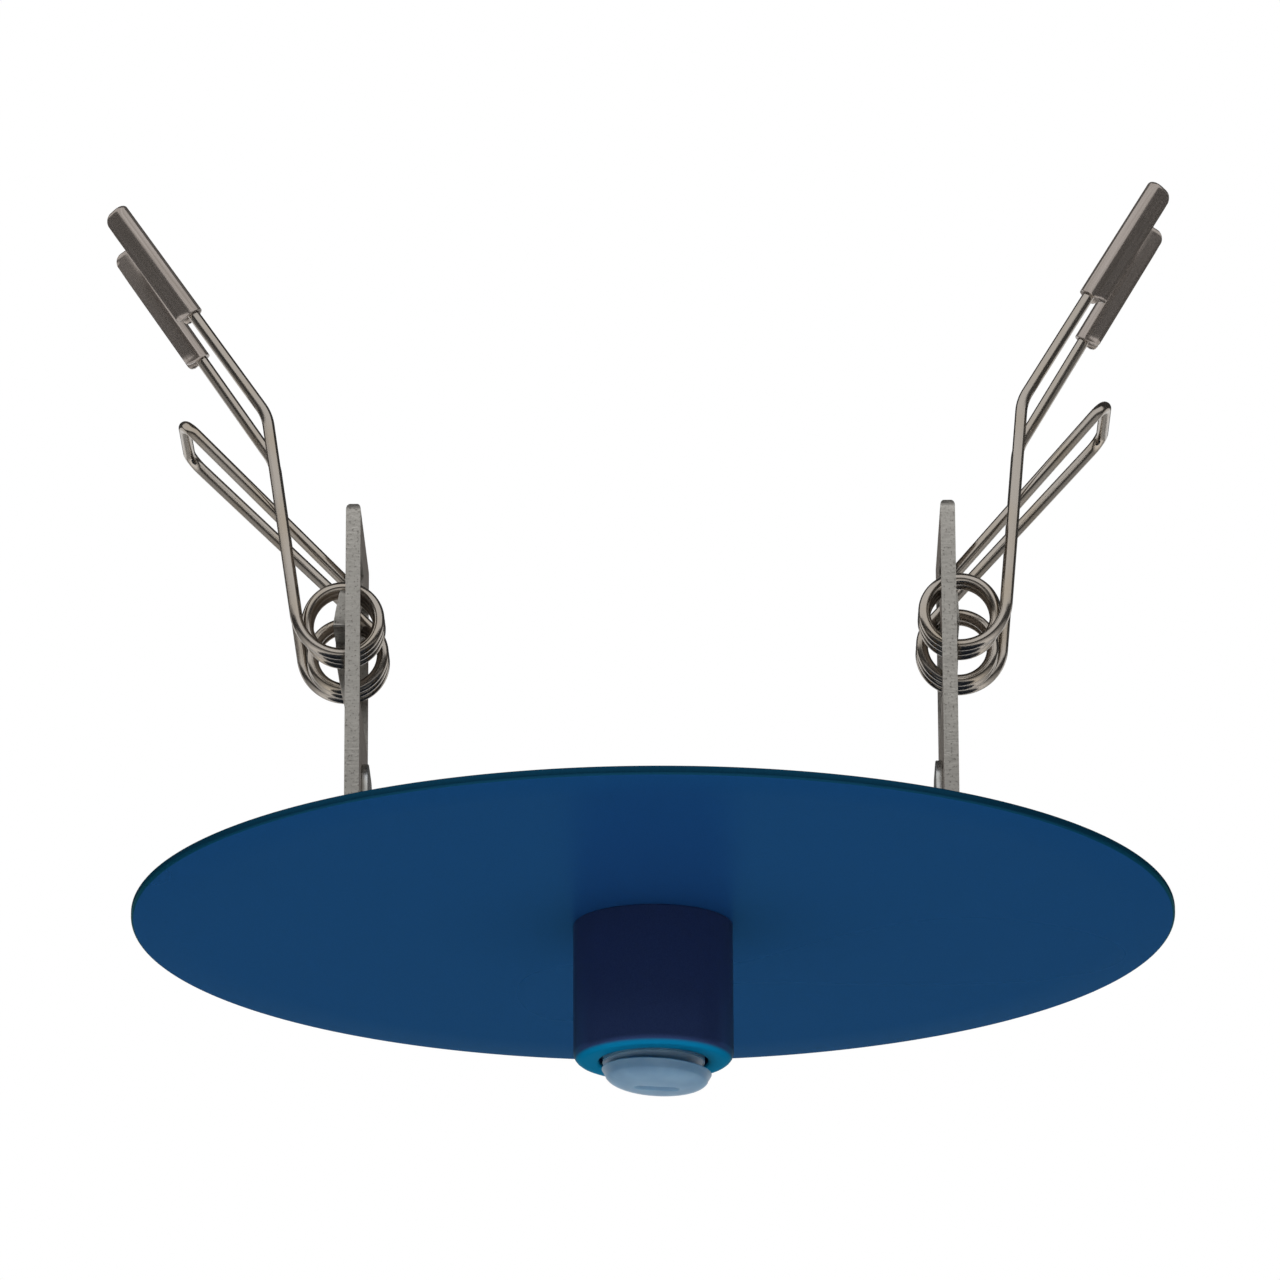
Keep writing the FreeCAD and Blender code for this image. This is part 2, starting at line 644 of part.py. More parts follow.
def make_spring(side):
    """One spring with its sleeves; turning a side half round swaps near and far."""
    make_loop(side)
    for half, name in ((-1, "near"), (1, "far")):
        if side == "left":
            name = {"near": "far", "far": "near"}[name]
        make_arm(side, half, "%s_%s_arm" % (side, name))
        make_sleeve(side, half, "%s_%s_sleeve" % (side, name), "%s_%s_roll" % (side, name))


# ---------------------------------------------------------------- whole and export

def check_document():
    """Stops if a feature failed or a sub-part has no sound solid."""
    for thing in DOC.Objects:
        if {"Invalid", "Error"} & set(thing.State):
            raise RuntimeError("%s failed" % thing.Name)
    for part in SUBPARTS:
        if part.Shape.isNull() or not part.Shape.isValid() or not part.Shape.Solids:
            raise RuntimeError("%s is not a sound solid" % part.Label)


make_plate()
make_hub()
make_plug()
make_hub_fixing()
make_strap()
make_studs()
for which in ("left", "right"):
    make_bracket(which)
    make_rivets(which)
    make_spring(which)
DOC.recompute()
check_document()

os.makedirs("parts", exist_ok=True)
for part in SUBPARTS:
    part.Shape.exportStep("parts/%s.step" % part.Label)
    print("%-22s %2d solids %10.2f mm3" % (part.Label, len(part.Shape.Solids), part.Shape.Volume))
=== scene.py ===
"""Looks of a sprung ceiling cover plate: lacquered plate and hub, wire springs and brackets.

Sizes are in millimetres in the part's own frame and turn to metres when a mesh is made. The
right side is built as it stands, and the left side is the right one turned half round Z.
"""

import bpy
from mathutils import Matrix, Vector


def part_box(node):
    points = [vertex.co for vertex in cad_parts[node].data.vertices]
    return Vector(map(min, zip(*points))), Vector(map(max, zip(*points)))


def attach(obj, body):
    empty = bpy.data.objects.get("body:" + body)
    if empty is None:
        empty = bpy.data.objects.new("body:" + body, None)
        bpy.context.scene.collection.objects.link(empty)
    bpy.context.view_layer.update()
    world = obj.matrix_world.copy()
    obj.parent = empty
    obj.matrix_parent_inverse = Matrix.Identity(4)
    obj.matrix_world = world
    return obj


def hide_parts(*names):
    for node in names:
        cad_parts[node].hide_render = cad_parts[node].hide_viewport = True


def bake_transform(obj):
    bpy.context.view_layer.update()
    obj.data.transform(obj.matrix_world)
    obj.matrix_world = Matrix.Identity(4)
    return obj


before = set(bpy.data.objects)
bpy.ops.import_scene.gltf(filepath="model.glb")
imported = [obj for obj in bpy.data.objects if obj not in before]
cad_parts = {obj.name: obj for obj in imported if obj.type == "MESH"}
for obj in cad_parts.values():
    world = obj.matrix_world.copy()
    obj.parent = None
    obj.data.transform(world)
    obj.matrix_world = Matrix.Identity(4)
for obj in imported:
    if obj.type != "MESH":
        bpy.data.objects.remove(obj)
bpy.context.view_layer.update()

import logging
import math
from dataclasses import dataclass, field
from enum import Enum
from typing import Callable, Iterable, Sequence

import bmesh
import bpy
from mathutils import Matrix, Vector

MM = 0.001
TURN = 2 * math.pi
# nearly all of a noise lies between these, and a map range spreads it over the whole reach
MIDDLE = {"From Min": 0.3, "From Max": 0.7}
SOFT = {"interpolation_type": "SMOOTHSTEP"}
COLOURS = {"data_type": "RGBA"}
# turned meshes stop this far from the axis, where their faces would have no width
AXIS = 0.01
LOG = logging.getLogger("cover_plate")


class Side(Enum):
    """Which of the two springs and brackets is meant."""

    LEFT = "left"
    RIGHT = "right"

    @property
    def half_turn(self) -> Matrix:
        """The turn about Z that brings the right side's shapes to this side."""
        return Matrix.Rotation(math.pi if self is Side.LEFT else 0.0, 4, "Z")


class Reach(Enum):
    """Which half of a spring is meant, as seen by someone standing in front."""

    NEAR = "near"
    FAR = "far"


# ---------------------------------------------------------------- materials

def linear(colour: str) -> tuple[float, float, float, float]:
    """Turns an sRGB hex colour to linear light.

    Args:
        colour: six hex digits after a hash.

    Returns:
        Red, green, blue and an alpha of one.
    """
    shares = [int(colour[place:place + 2], 16) / 255 for place in (1, 3, 5)]
    red, green, blue = [share / 12.92 if share <= 0.04045 else ((share + 0.055) / 1.055) ** 2.4
                        for share in shares]
    return red, green, blue, 1.0


def fill(tree: bpy.types.NodeTree, node: bpy.types.Node, inputs: dict) -> None:
    """Sets a node's inputs, each to a value or to a link.

    Args:
        tree: the material's or world's node tree.
        node: the node.
        inputs: for each input, by its name or number: a value, a socket to link from, or a
            node whose first output it is linked from.
    """
    for place, value in inputs.items():
        if isinstance(value, bpy.types.Node):
            value = value.outputs[0]
        if isinstance(value, bpy.types.NodeSocket):
            tree.links.new(value, node.inputs[place])
        else:
            node.inputs[place].default_value = value


def add_node(tree: bpy.types.NodeTree, kind: str, inputs: dict,
             **settings: object) -> bpy.types.Node:
    """Adds a shader node with its settings and links.

    Args:
        tree: the material's or world's node tree.
        kind: the node's type name, from after "ShaderNode".
        inputs: what goes into its inputs, as for fill.
        settings: properties of the node itself.

    Returns:
        The node.
    """
    node = tree.nodes.new("ShaderNode" + kind)
    for name, value in settings.items():
        setattr(node, name, value)
    fill(tree, node, inputs)
    return node


def per_mm(spacing: float) -> float:
    """A noise scale whose features are this many millimetres apart."""
    return 1.0 / (spacing * MM)


def principled(material: bpy.types.Material) -> bpy.types.Node:
    """A new material's shader."""
    return next(node for node in material.node_tree.nodes if node.type == "BSDF_PRINCIPLED")


@dataclass(frozen=True)
class Finish:
    """A finish: what the surface is made of and how it was made."""

    name: str
    slot: str

    def material(self) -> bpy.types.Material:
        """The finish's material, made once.

        Returns:
            The material.
        """
        made = bpy.data.materials.get(self.name)
        if made is None:
            made = bpy.data.materials.new(self.name)
            made.use_nodes = True
            fill(made.node_tree, principled(made), self.dress(made.node_tree))
        return made

    def dress(self, tree: bpy.types.NodeTree) -> dict:
        """What goes into the shader's sockets, by name; each finish has its own."""
        raise NotImplementedError


@dataclass(frozen=True)
class SprayedLacquer(Finish):
    """Candy lacquer sprayed on bright steel: clear blue over metal, so that all glints are blue.

    A satin film: the metal under it gives a blurred blue mirror, a low view has a longer way
    through the film and turns darker, and spraying leaves a faint orange peel a millimetre across.

    Attributes:
        tint: the film's colour.
        shade: its colour between the flakes.
        painted_glint: the colour of a painted highlight laid on a band by height, and the sheen's
            tint.
        edge_tint: what a low view is tinted with.
        metallic: how much of the metal shows.
        roughness: the film's own.
        peel: the orange peel's spacing, in millimetres.
        flake: the flakes' spacing as drawn.
        drift: the spacing of slow changes of gloss from pass to pass of the spray gun.
        painted_glint_from: the height where the painted highlight begins; the default is nowhere.
        painted_glint_to: the height where it is full.
        sheen: dry overspray on the skin.
    """

    tint: str = "#1B457B"
    shade: str = "#174073"
    # the colour of a painted highlight, used on the hub's lower end
    painted_glint: str = "#0A6A96"
    edge_tint: str = "#A6C3AA"
    metallic: float = 0.35
    roughness: float = 0.28
    peel: float = 0.9
    flake: float = 0.12
    drift: float = 60.0
    painted_glint_from: float = -100.0
    painted_glint_to: float = -101.0
    sheen: float = 0.0

    def dress(self, tree: bpy.types.NodeTree) -> dict:
        """Flakes under a film with a faint orange peel.

        Args:
            tree: the material's node tree.

        Returns:
            The shader's inputs.
        """
        where = add_node(tree, "TexCoord", {}).outputs["Object"]
        # flakes are about 0.02 mm; they are drawn six times as coarse so that they show
        flakes = add_node(tree, "TexNoise", {"Vector": where, "Scale": per_mm(self.flake),
                                             "Detail": 1.0})
        sparkle = add_node(tree, "MapRange", {"Value": flakes, **MIDDLE}, **SOFT)
        passes = add_node(tree, "TexNoise", {"Vector": where, "Scale": per_mm(self.drift),
                                             "Detail": 0.0})
        rough = add_node(tree, "MapRange", {"Value": passes, **MIDDLE,
                                            "To Min": self.roughness - 0.01,
                                            "To Max": self.roughness + 0.02}, **SOFT)
        peel = add_node(tree, "TexNoise", {"Vector": where, "Scale": per_mm(self.peel),
                                           "Detail": 1.0})
        skin = add_node(tree, "Bump", {"Height": peel, "Distance": 0.002 * MM, "Strength": 0.3})
        # painted highlight: below a given height the base colour turns bright cyan, for the glint of
        # light from below on the hub's lower end
        height = add_node(tree, "SeparateXYZ", {"Vector": where}).outputs["Z"]
        bare = add_node(tree, "MapRange", {"Value": height, "From Min": self.painted_glint_from * MM,
                                           "From Max": self.painted_glint_to * MM}, **SOFT)
        body = add_node(tree, "Mix", {"Factor": sparkle, 6: linear(self.tint),
                                      7: linear(self.shade)}, **COLOURS)
        film = add_node(tree, "Mix", {"Factor": bare, 6: body.outputs[2],
                                      7: linear(self.painted_glint)}, **COLOURS)
        return {"Base Color": film.outputs[2], "Roughness": rough, "Normal": skin,
                "Metallic": self.metallic, "Specular IOR Level": 0.0,
                "Sheen Weight": self.sheen, "Sheen Roughness": 0.15,
                "Sheen Tint": linear(self.painted_glint), "Specular Tint": linear(self.edge_tint)}


@dataclass(frozen=True)
class StovedPrimer(Finish):
    """Dipped and stoved primer on the plate's back: dull, with faint runs of the dip, and dark partly
    as painted shade.

    Attributes:
        colour: the primer's colour, kept dark partly as painted shade.
        thick: its colour where it ran thick.
        roughness: how dull it is.
        run: the runs' spacing, in millimetres.
        peel: the spacing of the ripples in its skin, in millimetres.
    """

    colour: str = "#1D2A3A"
    thick: str = "#17212D"
    roughness: float = 0.42
    run: float = 6.0
    peel: float = 1.1

    def dress(self, tree: bpy.types.NodeTree) -> dict:
        """Runs of the dip in colour and gloss.

        Args:
            tree: the material's node tree.

        Returns:
            The shader's inputs.
        """
        where = add_node(tree, "TexCoord", {}).outputs["Object"]
        # the runs are five times as long as they are wide
        drawn = add_node(tree, "Mapping", {"Vector": where, "Scale": (1.0, 0.2, 1.0)})
        runs = add_node(tree, "TexNoise", {"Vector": drawn, "Scale": per_mm(self.run),
                                           "Detail": 2.0})
        share = add_node(tree, "MapRange", {"Value": runs, **MIDDLE}, **SOFT)
        coat = add_node(tree, "Mix", {"Factor": share, 6: linear(self.colour),
                                      7: linear(self.thick)}, **COLOURS)
        rough = add_node(tree, "MapRange", {"Value": runs, **MIDDLE,
                                            "To Min": self.roughness - 0.04,
                                            "To Max": self.roughness + 0.05}, **SOFT)
        peel = add_node(tree, "TexNoise", {"Vector": where, "Scale": per_mm(self.peel),
                                           "Detail": 1.0})
        skin = add_node(tree, "Bump", {"Height": peel, "Distance": 0.004 * MM, "Strength": 0.5})
        return {"Base Color": coat.outputs[2], "Roughness": rough, "Normal": skin}


@dataclass(frozen=True)
class MouldedNylon(Finish):
    """Natural nylon 6 as moulded: milky, a little see-through, with a soft sheen.

    Attributes:
        colour: the milky body's colour, tinted with painted blue light, as reflected from the hub
            round it.
        cloud: the colour of its denser clouds, with the same painted blue.
        roughness: how dull its skin is.
        cloud_size: the clouds' spacing, in millimetres.
        grain: the spacing of the mould's marks; they are drawn three times as coarse as real
            ones of about 0.1 mm, so that they show.
    """

    # both colours hold painted blue light reflected from the hub
    colour: str = "#4A7697"
    cloud: str = "#5A83A1"
    roughness: float = 0.36
    cloud_size: float = 2.6
    grain: float = 0.35

    def dress(self, tree: bpy.types.NodeTree) -> dict:
        """Clouds in a milky body under a moulded skin.

        Args:
            tree: the material's node tree.

        Returns:
            The shader's inputs.
        """
        where = add_node(tree, "TexCoord", {}).outputs["Object"]
        clouds = add_node(tree, "TexNoise", {"Vector": where, "Scale": per_mm(self.cloud_size),
                                             "Detail": 2.0})
        share = add_node(tree, "MapRange", {"Value": clouds, **MIDDLE}, **SOFT)
        milk = add_node(tree, "Mix", {"Factor": share, 6: linear(self.colour),
                                      7: linear(self.cloud)}, **COLOURS)
        grain = add_node(tree, "TexNoise", {"Vector": where, "Scale": per_mm(self.grain),
                                            "Detail": 2.0})
        skin = add_node(tree, "Bump", {"Height": grain, "Distance": 0.006 * MM,
                                       "Strength": 0.6})
        return {"Base Color": milk.outputs[2], "Normal": skin, "Roughness": self.roughness,
                "IOR": 1.53, "Subsurface Weight": 0.5, "Subsurface Radius": (0.6, 0.9, 1.2),
                "Subsurface Scale": 2.5 * MM}


@dataclass(frozen=True)
class DrawnWire(Finish):
    """Stainless spring wire, drawn through a die: satin, with draw lines that run along it.

    Coiling and stress relief leave faint straw patches some millimetres long.

    Attributes:
        steel: the bare steel's colour.
        straw: its colour where heat has tinted it.
        roughness: how dull it is.
        draw_line: the draw lines' spacing; real ones are about 0.02 mm apart, and these are
            drawn ten times as coarse so that they show.
        patch: the straw patches' length, in millimetres.
    """

    steel: str = "#AAA39B"
    straw: str = "#A69B8C"
    roughness: float = 0.17
    draw_line: float = 0.2
    patch: float = 7.0

    def dress(self, tree: bpy.types.NodeTree) -> dict:
        """Draw lines along the wire, and straw patches.

        Args:
            tree: the material's node tree.

        Returns:
            The shader's inputs.
        """
        # where a point lay on the straight wire, in millimetres; Y runs along it
        where = add_node(tree, "Attribute", {}, attribute_name="stock_place").outputs["Vector"]
        fine = 1 / self.draw_line
        drawn = add_node(tree, "Mapping", {"Vector": where, "Scale": (fine, 0.12, fine)})
        lines = add_node(tree, "TexNoise", {"Vector": drawn, "Scale": 1.0, "Detail": 1.0})
        rough = add_node(tree, "MapRange", {"Value": lines, **MIDDLE,
                                            "To Min": self.roughness - 0.03,
                                            "To Max": self.roughness + 0.05}, **SOFT)
        skin = add_node(tree, "Bump", {"Height": lines, "Distance": 0.001 * MM,
                                       "Strength": 0.25})
        heated = add_node(tree, "Mapping", {"Vector": where,
                                            "Scale": (0.25, 1 / self.patch, 0.25)})
        patches = add_node(tree, "TexNoise", {"Vector": heated, "Scale": 1.0, "Detail": 1.0})
        share = add_node(tree, "MapRange", {"Value": patches, "From Min": 0.45,
                                            "From Max": 0.72, "To Max": 0.85})
        steel = add_node(tree, "Mix", {"Factor": share, 6: linear(self.steel),
                                       7: linear(self.straw)}, **COLOURS)
        return {"Base Color": steel.outputs[2], "Roughness": rough, "Normal": skin,
                "Metallic": 1.0}


@dataclass(frozen=True)
class RolledSheet(Finish):
    """Cold-rolled stainless strip, folded: a bright face with rolling streaks along its length.

    Fine scuffs scatter a quarter of the light, so that the face is never quite black.

    Attributes:
        steel: the bare steel's colour.
        stain: its colour along a dark streak.
        roughness: how dull it is.
        metallic: how much of the light isn't scattered by scuffs.
        streak: the streaks' spacing; real ones are about 0.05 mm apart, and these are drawn
            six times as coarse so that they show.
    """

    steel: str = "#ACA39D"
    stain: str = "#8F867E"
    roughness: float = 0.14
    metallic: float = 0.75
    streak: float = 0.3

    def dress(self, tree: bpy.types.NodeTree) -> dict:
        """Streaks along the strip.

        Args:
            tree: the material's node tree.

        Returns:
            The shader's inputs.
        """
        # where a point lay on the flat strip, in millimetres; Y runs along it
        where = add_node(tree, "Attribute", {}, attribute_name="stock_place").outputs["Vector"]
        rolled = add_node(tree, "Mapping", {"Vector": where,
                                            "Scale": (1 / self.streak, 0.06, 1.0)})
        streaks = add_node(tree, "TexNoise", {"Vector": rolled, "Scale": 1.0, "Detail": 1.5})
        share = add_node(tree, "MapRange", {"Value": streaks, **MIDDLE, "To Max": 0.8}, **SOFT)
        steel = add_node(tree, "Mix", {"Factor": share, 6: linear(self.steel),
                                       7: linear(self.stain)}, **COLOURS)
        rough = add_node(tree, "MapRange", {"Value": streaks, **MIDDLE,
                                            "To Min": self.roughness - 0.02,
                                            "To Max": self.roughness + 0.04}, **SOFT)
        skin = add_node(tree, "Bump", {"Height": streaks, "Distance": 0.002 * MM,
                                       "Strength": 0.25})
        return {"Base Color": steel.outputs[2], "Roughness": rough, "Normal": skin,
                "Metallic": self.metallic}


@dataclass(frozen=True)
class TumbledSteel(Finish):
    """Stamped steel face after tumbling: even satin with short random scuffs.

    Attributes:
        steel: the bare steel's colour.
        scuff: its colour in a scuff.
        roughness: how dull it is.
        metallic: how much of the light isn't scattered by scuffs.
        scuff_size: the scuffs' spacing, in millimetres.
        grain: the spacing of the stones' marks; real ones are about 0.03 mm apart, and these
            are drawn four times as coarse so that they show.
    """

    steel: str = "#A79E95"
    scuff: str = "#958B80"
    roughness: float = 0.48
    metallic: float = 0.6
    scuff_size: float = 0.9
    grain: float = 0.12

    def dress(self, tree: bpy.types.NodeTree) -> dict:
        """Scuffs in colour and gloss over a fine grain.

        Args:
            tree: the material's node tree.

        Returns:
            The shader's inputs.
        """
        where = add_node(tree, "TexCoord", {}).outputs["Object"]
        rubbed = add_node(tree, "Mapping", {"Vector": where, "Scale": (1.0, 2.4, 0.8)})
        scuffs = add_node(tree, "TexNoise", {"Vector": rubbed, "Scale": per_mm(self.scuff_size),
                                             "Detail": 5.0})
        share = add_node(tree, "MapRange", {"Value": scuffs, **MIDDLE}, **SOFT)
        steel = add_node(tree, "Mix", {"Factor": share, 6: linear(self.steel),
                                       7: linear(self.scuff)}, **COLOURS)
        rough = add_node(tree, "MapRange", {"Value": scuffs, **MIDDLE,
                                            "To Min": self.roughness - 0.05,
                                            "To Max": self.roughness + 0.08}, **SOFT)
        grain = add_node(tree, "TexNoise", {"Vector": where, "Scale": per_mm(self.grain),
                                            "Detail": 2.0})
        skin = add_node(tree, "Bump", {"Height": grain, "Distance": 0.008 * MM,
                                       "Strength": 0.7})
        return {"Base Color": steel.outputs[2], "Roughness": rough, "Normal": skin,
                "Metallic": self.metallic}


@dataclass(frozen=True)
class ShearedEdge(Finish):
    """The cut edge of stamped steel: matt and torn, with fine lines across the thickness.

    Attributes:
        steel: the torn steel's colour.
        pit: its colour deep in a pit.
        roughness: how dull it is.
        tear: the tears' spacing, in millimetres.
        pit_size: the pits' spacing, in millimetres.
    """

    steel: str = "#B4B1AB"
    pit: str = "#77736E"
    roughness: float = 0.5
    tear: float = 0.28
    pit_size: float = 0.3

    def dress(self, tree: bpy.types.NodeTree) -> dict:
        """Tears across the thickness, and dark pits.

        Args:
            tree: the material's node tree.

        Returns:
            The shader's inputs.
        """
        where = add_node(tree, "TexCoord", {}).outputs["Object"]
        # the tears are four times as long across the thickness as they are high
        torn = add_node(tree, "Mapping", {"Vector": where, "Scale": (0.25, 0.25, 1.0)})
        tears = add_node(tree, "TexNoise", {"Vector": torn, "Scale": per_mm(self.tear),
                                            "Detail": 4.0})
        rough = add_node(tree, "MapRange", {"Value": tears, **MIDDLE,
                                            "To Min": self.roughness - 0.1,
                                            "To Max": self.roughness + 0.08}, **SOFT)
        pits = add_node(tree, "TexNoise", {"Vector": where, "Scale": per_mm(self.pit_size),
                                           "Detail": 3.0})
        deep = add_node(tree, "MapRange", {"Value": pits, "From Min": 0.56, "From Max": 0.72,
                                           "To Max": 1.0})
        steel = add_node(tree, "Mix", {"Factor": deep, 6: linear(self.steel),
                                       7: linear(self.pit)}, **COLOURS)
        fine = add_node(tree, "Bump", {"Height": pits, "Distance": 0.02 * MM, "Strength": 0.8})
        skin = add_node(tree, "Bump", {"Height": tears, "Distance": 0.03 * MM, "Strength": 0.7,
                                       "Normal": fine})
        return {"Base Color": steel.outputs[2], "Roughness": rough, "Normal": skin,
                "Metallic": 1.0}


@dataclass(frozen=True)
class ZincPlate(Finish):
    """Bright zinc plating with a clear passivate: pale, with cloudy patches and a faint tint.

    Attributes:
        zinc: the bright zinc's colour.
        cloud: its colour in a cloudy patch.
        roughness: how dull it is.
        cloud_size: the patches' spacing, in millimetres.
        grain: the spacing of the zinc's crystals; real ones are some hundredths of a
            millimetre across, and these are drawn coarser so that they show.
    """

    zinc: str = "#BFC1C3"
    cloud: str = "#A9A79C"
    roughness: float = 0.3
    cloud_size: float = 3.5
    grain: float = 0.15

    def dress(self, tree: bpy.types.NodeTree) -> dict:
        """Cloudy patches over a fine grain.

        Args:
            tree: the material's node tree.

        Returns:
            The shader's inputs.
        """
        where = add_node(tree, "TexCoord", {}).outputs["Object"]
        clouds = add_node(tree, "TexNoise", {"Vector": where, "Scale": per_mm(self.cloud_size),
                                             "Detail": 4.0})
        share = add_node(tree, "MapRange", {"Value": clouds, **MIDDLE}, **SOFT)
        plating = add_node(tree, "Mix", {"Factor": share, 6: linear(self.zinc),
                                         7: linear(self.cloud)}, **COLOURS)
        # the gloss changes more sharply than the colour does at the edge of a cloudy patch
        rough = add_node(tree, "MapRange", {"Value": share, **MIDDLE,
                                            "To Min": self.roughness - 0.04,
                                            "To Max": self.roughness + 0.08}, **SOFT)
        grain = add_node(tree, "TexNoise", {"Vector": where, "Scale": per_mm(self.grain),
                                            "Detail": 2.0})
        skin = add_node(tree, "Bump", {"Height": grain, "Distance": 0.005 * MM,
                                       "Strength": 0.6})
        return {"Base Color": plating.outputs[2], "Roughness": rough, "Normal": skin,
                "Metallic": 1.0}


@dataclass(frozen=True)
class TurnedBrass(Finish):
    """Brass turned on a lathe: warm and bright, with fine rings round the axis.

    Attributes:
        brass: the bright brass's colour.
        dull: its colour where it has tarnished.
        roughness: how dull it is.
        ring: the rings' spacing, in millimetres, from a fine feed of the lathe.
        patch: the tarnished patches' spacing, in millimetres.
    """

    brass: str = "#C9A558"
    dull: str = "#A98A4A"
    roughness: float = 0.27
    ring: float = 0.1
    patch: float = 2.5

    def dress(self, tree: bpy.types.NodeTree) -> dict:
        """Rings round the axis, and dull patches.

        Args:
            tree: the material's node tree.

        Returns:
            The shader's inputs.
        """
        where = add_node(tree, "TexCoord", {}).outputs["Object"]
        # a ring hardly changes on its way round
        cut = add_node(tree, "Mapping", {"Vector": where, "Scale": (0.05, 0.05, 1.0)})
        rings = add_node(tree, "TexNoise", {"Vector": cut, "Scale": per_mm(self.ring),
                                            "Detail": 2.0})
        rough = add_node(tree, "MapRange", {"Value": rings, **MIDDLE,
                                            "To Min": self.roughness - 0.05,
                                            "To Max": self.roughness + 0.1}, **SOFT)
        skin = add_node(tree, "Bump", {"Height": rings, "Distance": 0.004 * MM,
                                       "Strength": 0.5})
        patches = add_node(tree, "TexNoise", {"Vector": where, "Scale": per_mm(self.patch),
                                              "Detail": 3.0})
        share = add_node(tree, "MapRange", {"Value": patches, **MIDDLE}, **SOFT)
        metal = add_node(tree, "Mix", {"Factor": share, 6: linear(self.brass),
                                       7: linear(self.dull)}, **COLOURS)
        return {"Base Color": metal.outputs[2], "Roughness": rough, "Normal": skin,
                "Metallic": 1.0}


PLATE_LACQUER = SprayedLacquer("blue_metallic_lacquer_sprayed_plate", "plate_paint")
# the hub's tint and shade are the plate's lacquer made darker and greyer: painted shade and painted
# reflection on the hub's side
HUB_LACQUER = SprayedLacquer("blue_metallic_lacquer_sprayed_hub", "hub_paint", tint="#2F4069",
                             # the hub's lower end carries a band of painted highlight
                             shade="#2B3B63", painted_glint_from=-16.7, painted_glint_to=-17.05, sheen=0.3)
# a darker copy of the plate's lacquer for the rim's wall and rounded edge: painted shade
RIM_PAINTED_SHADE_LACQUER = SprayedLacquer("blue_metallic_lacquer_painted_shade_at_rim", "plate_paint",
                             tint="#113E58", shade="#0F3A53")
# the back's dark colour is partly the primer's own and partly painted shade
PLATE_BACK_PRIMER_AND_SHADE = StovedPrimer("dark_primer_and_painted_shade_on_back", "plate_paint")
NYLON = MouldedNylon("natural_nylon_moulded", "plug_nylon")
WIRE = DrawnWire("stainless_spring_wire_drawn", "spring_wire")
SLEEVE_SHEET = RolledSheet("stainless_strip_rolled_and_folded", "sleeve_steel")
BRACKET_FACE = TumbledSteel("carbon_steel_stamped_and_tumbled", "bracket_steel")
BRACKET_EDGE = ShearedEdge("carbon_steel_sheared_edge", "bracket_steel")
ZINC = ZincPlate("mild_steel_bright_zinc_plated", "zinc_steel")
RIVET_ZINC = ZincPlate("rivet_steel_zinc_plated", "rivet_steel", zinc="#A9A49C", cloud="#938C82")
BRASS = TurnedBrass("brass_turned", "nipple_brass")


# ---------------------------------------------------------------- lines

def round_corners(points: Sequence[Vector], radii: Sequence[float], steps: int = 6) -> list[Vector]:
    """Rounds the inner corners of an open line.

    Args:
        points: the line's points.
        radii: a radius for each point, 0 for a sharp one; the ends' are not used.
        steps: how many chords an arc has.

    Returns:
        The rounded line's points.
    """
    made = [points[0].copy()]
    for before, corner, after, radius in zip(points, points[1:], points[2:], radii[1:]):
        back, ahead = (before - corner).normalized(), (after - corner).normalized()
        half = back.angle(ahead) / 2
        if radius <= 0 or half > math.radians(89.9):
            made.append(corner.copy())
            continue
        centre = corner + (back + ahead).normalized() * (radius / math.sin(half))
        start = corner + back * (radius / math.tan(half)) - centre
        end = corner + ahead * (radius / math.tan(half)) - centre
        made += [centre + start.slerp(end, step / steps).normalized() * radius
                 for step in range(steps + 1)]
    made.append(points[-1].copy())
    return made


def polar(radius: float, angle: float, height: float = 0.0) -> Vector:
    """A point by its distance from Z, its angle in radians and its height."""
    return Vector((radius * math.cos(angle), radius * math.sin(angle), height))


def drawn_in(beyond: float, radius: float) -> float:
    """How far a round corner has drawn in, this far past its edge, which is less than zero."""
    into = min(radius, max(0.0, radius + beyond))
    return radius - math.sqrt(radius ** 2 - into ** 2)


def filled_in(points: Sequence[Vector], spacing: float) -> list[Vector]:
    """Adds points to a line's long runs.

    Args:
        points: the line's points.
        spacing: the longest run that may be left.

    Returns:
        The line with its added points.
    """
    made = [points[0]]
    for start, end in zip(points, points[1:]):
        count = max(1, math.ceil((end - start).length / spacing))
        made += [start.lerp(end, step / count) for step in range(1, count + 1)]
    return made


def profile(*corners: tuple[float, float, float]) -> list[tuple[float, float]]:
    """A rounded profile for turning, from (radius, height, rounding) corners."""
    points = [Vector((radius, 0, height)) for radius, height, _ in corners]
    line = round_corners(points, [rounding for _, _, rounding in corners])
    return [(point.x, point.z) for point in line]


# ---------------------------------------------------------------- meshes

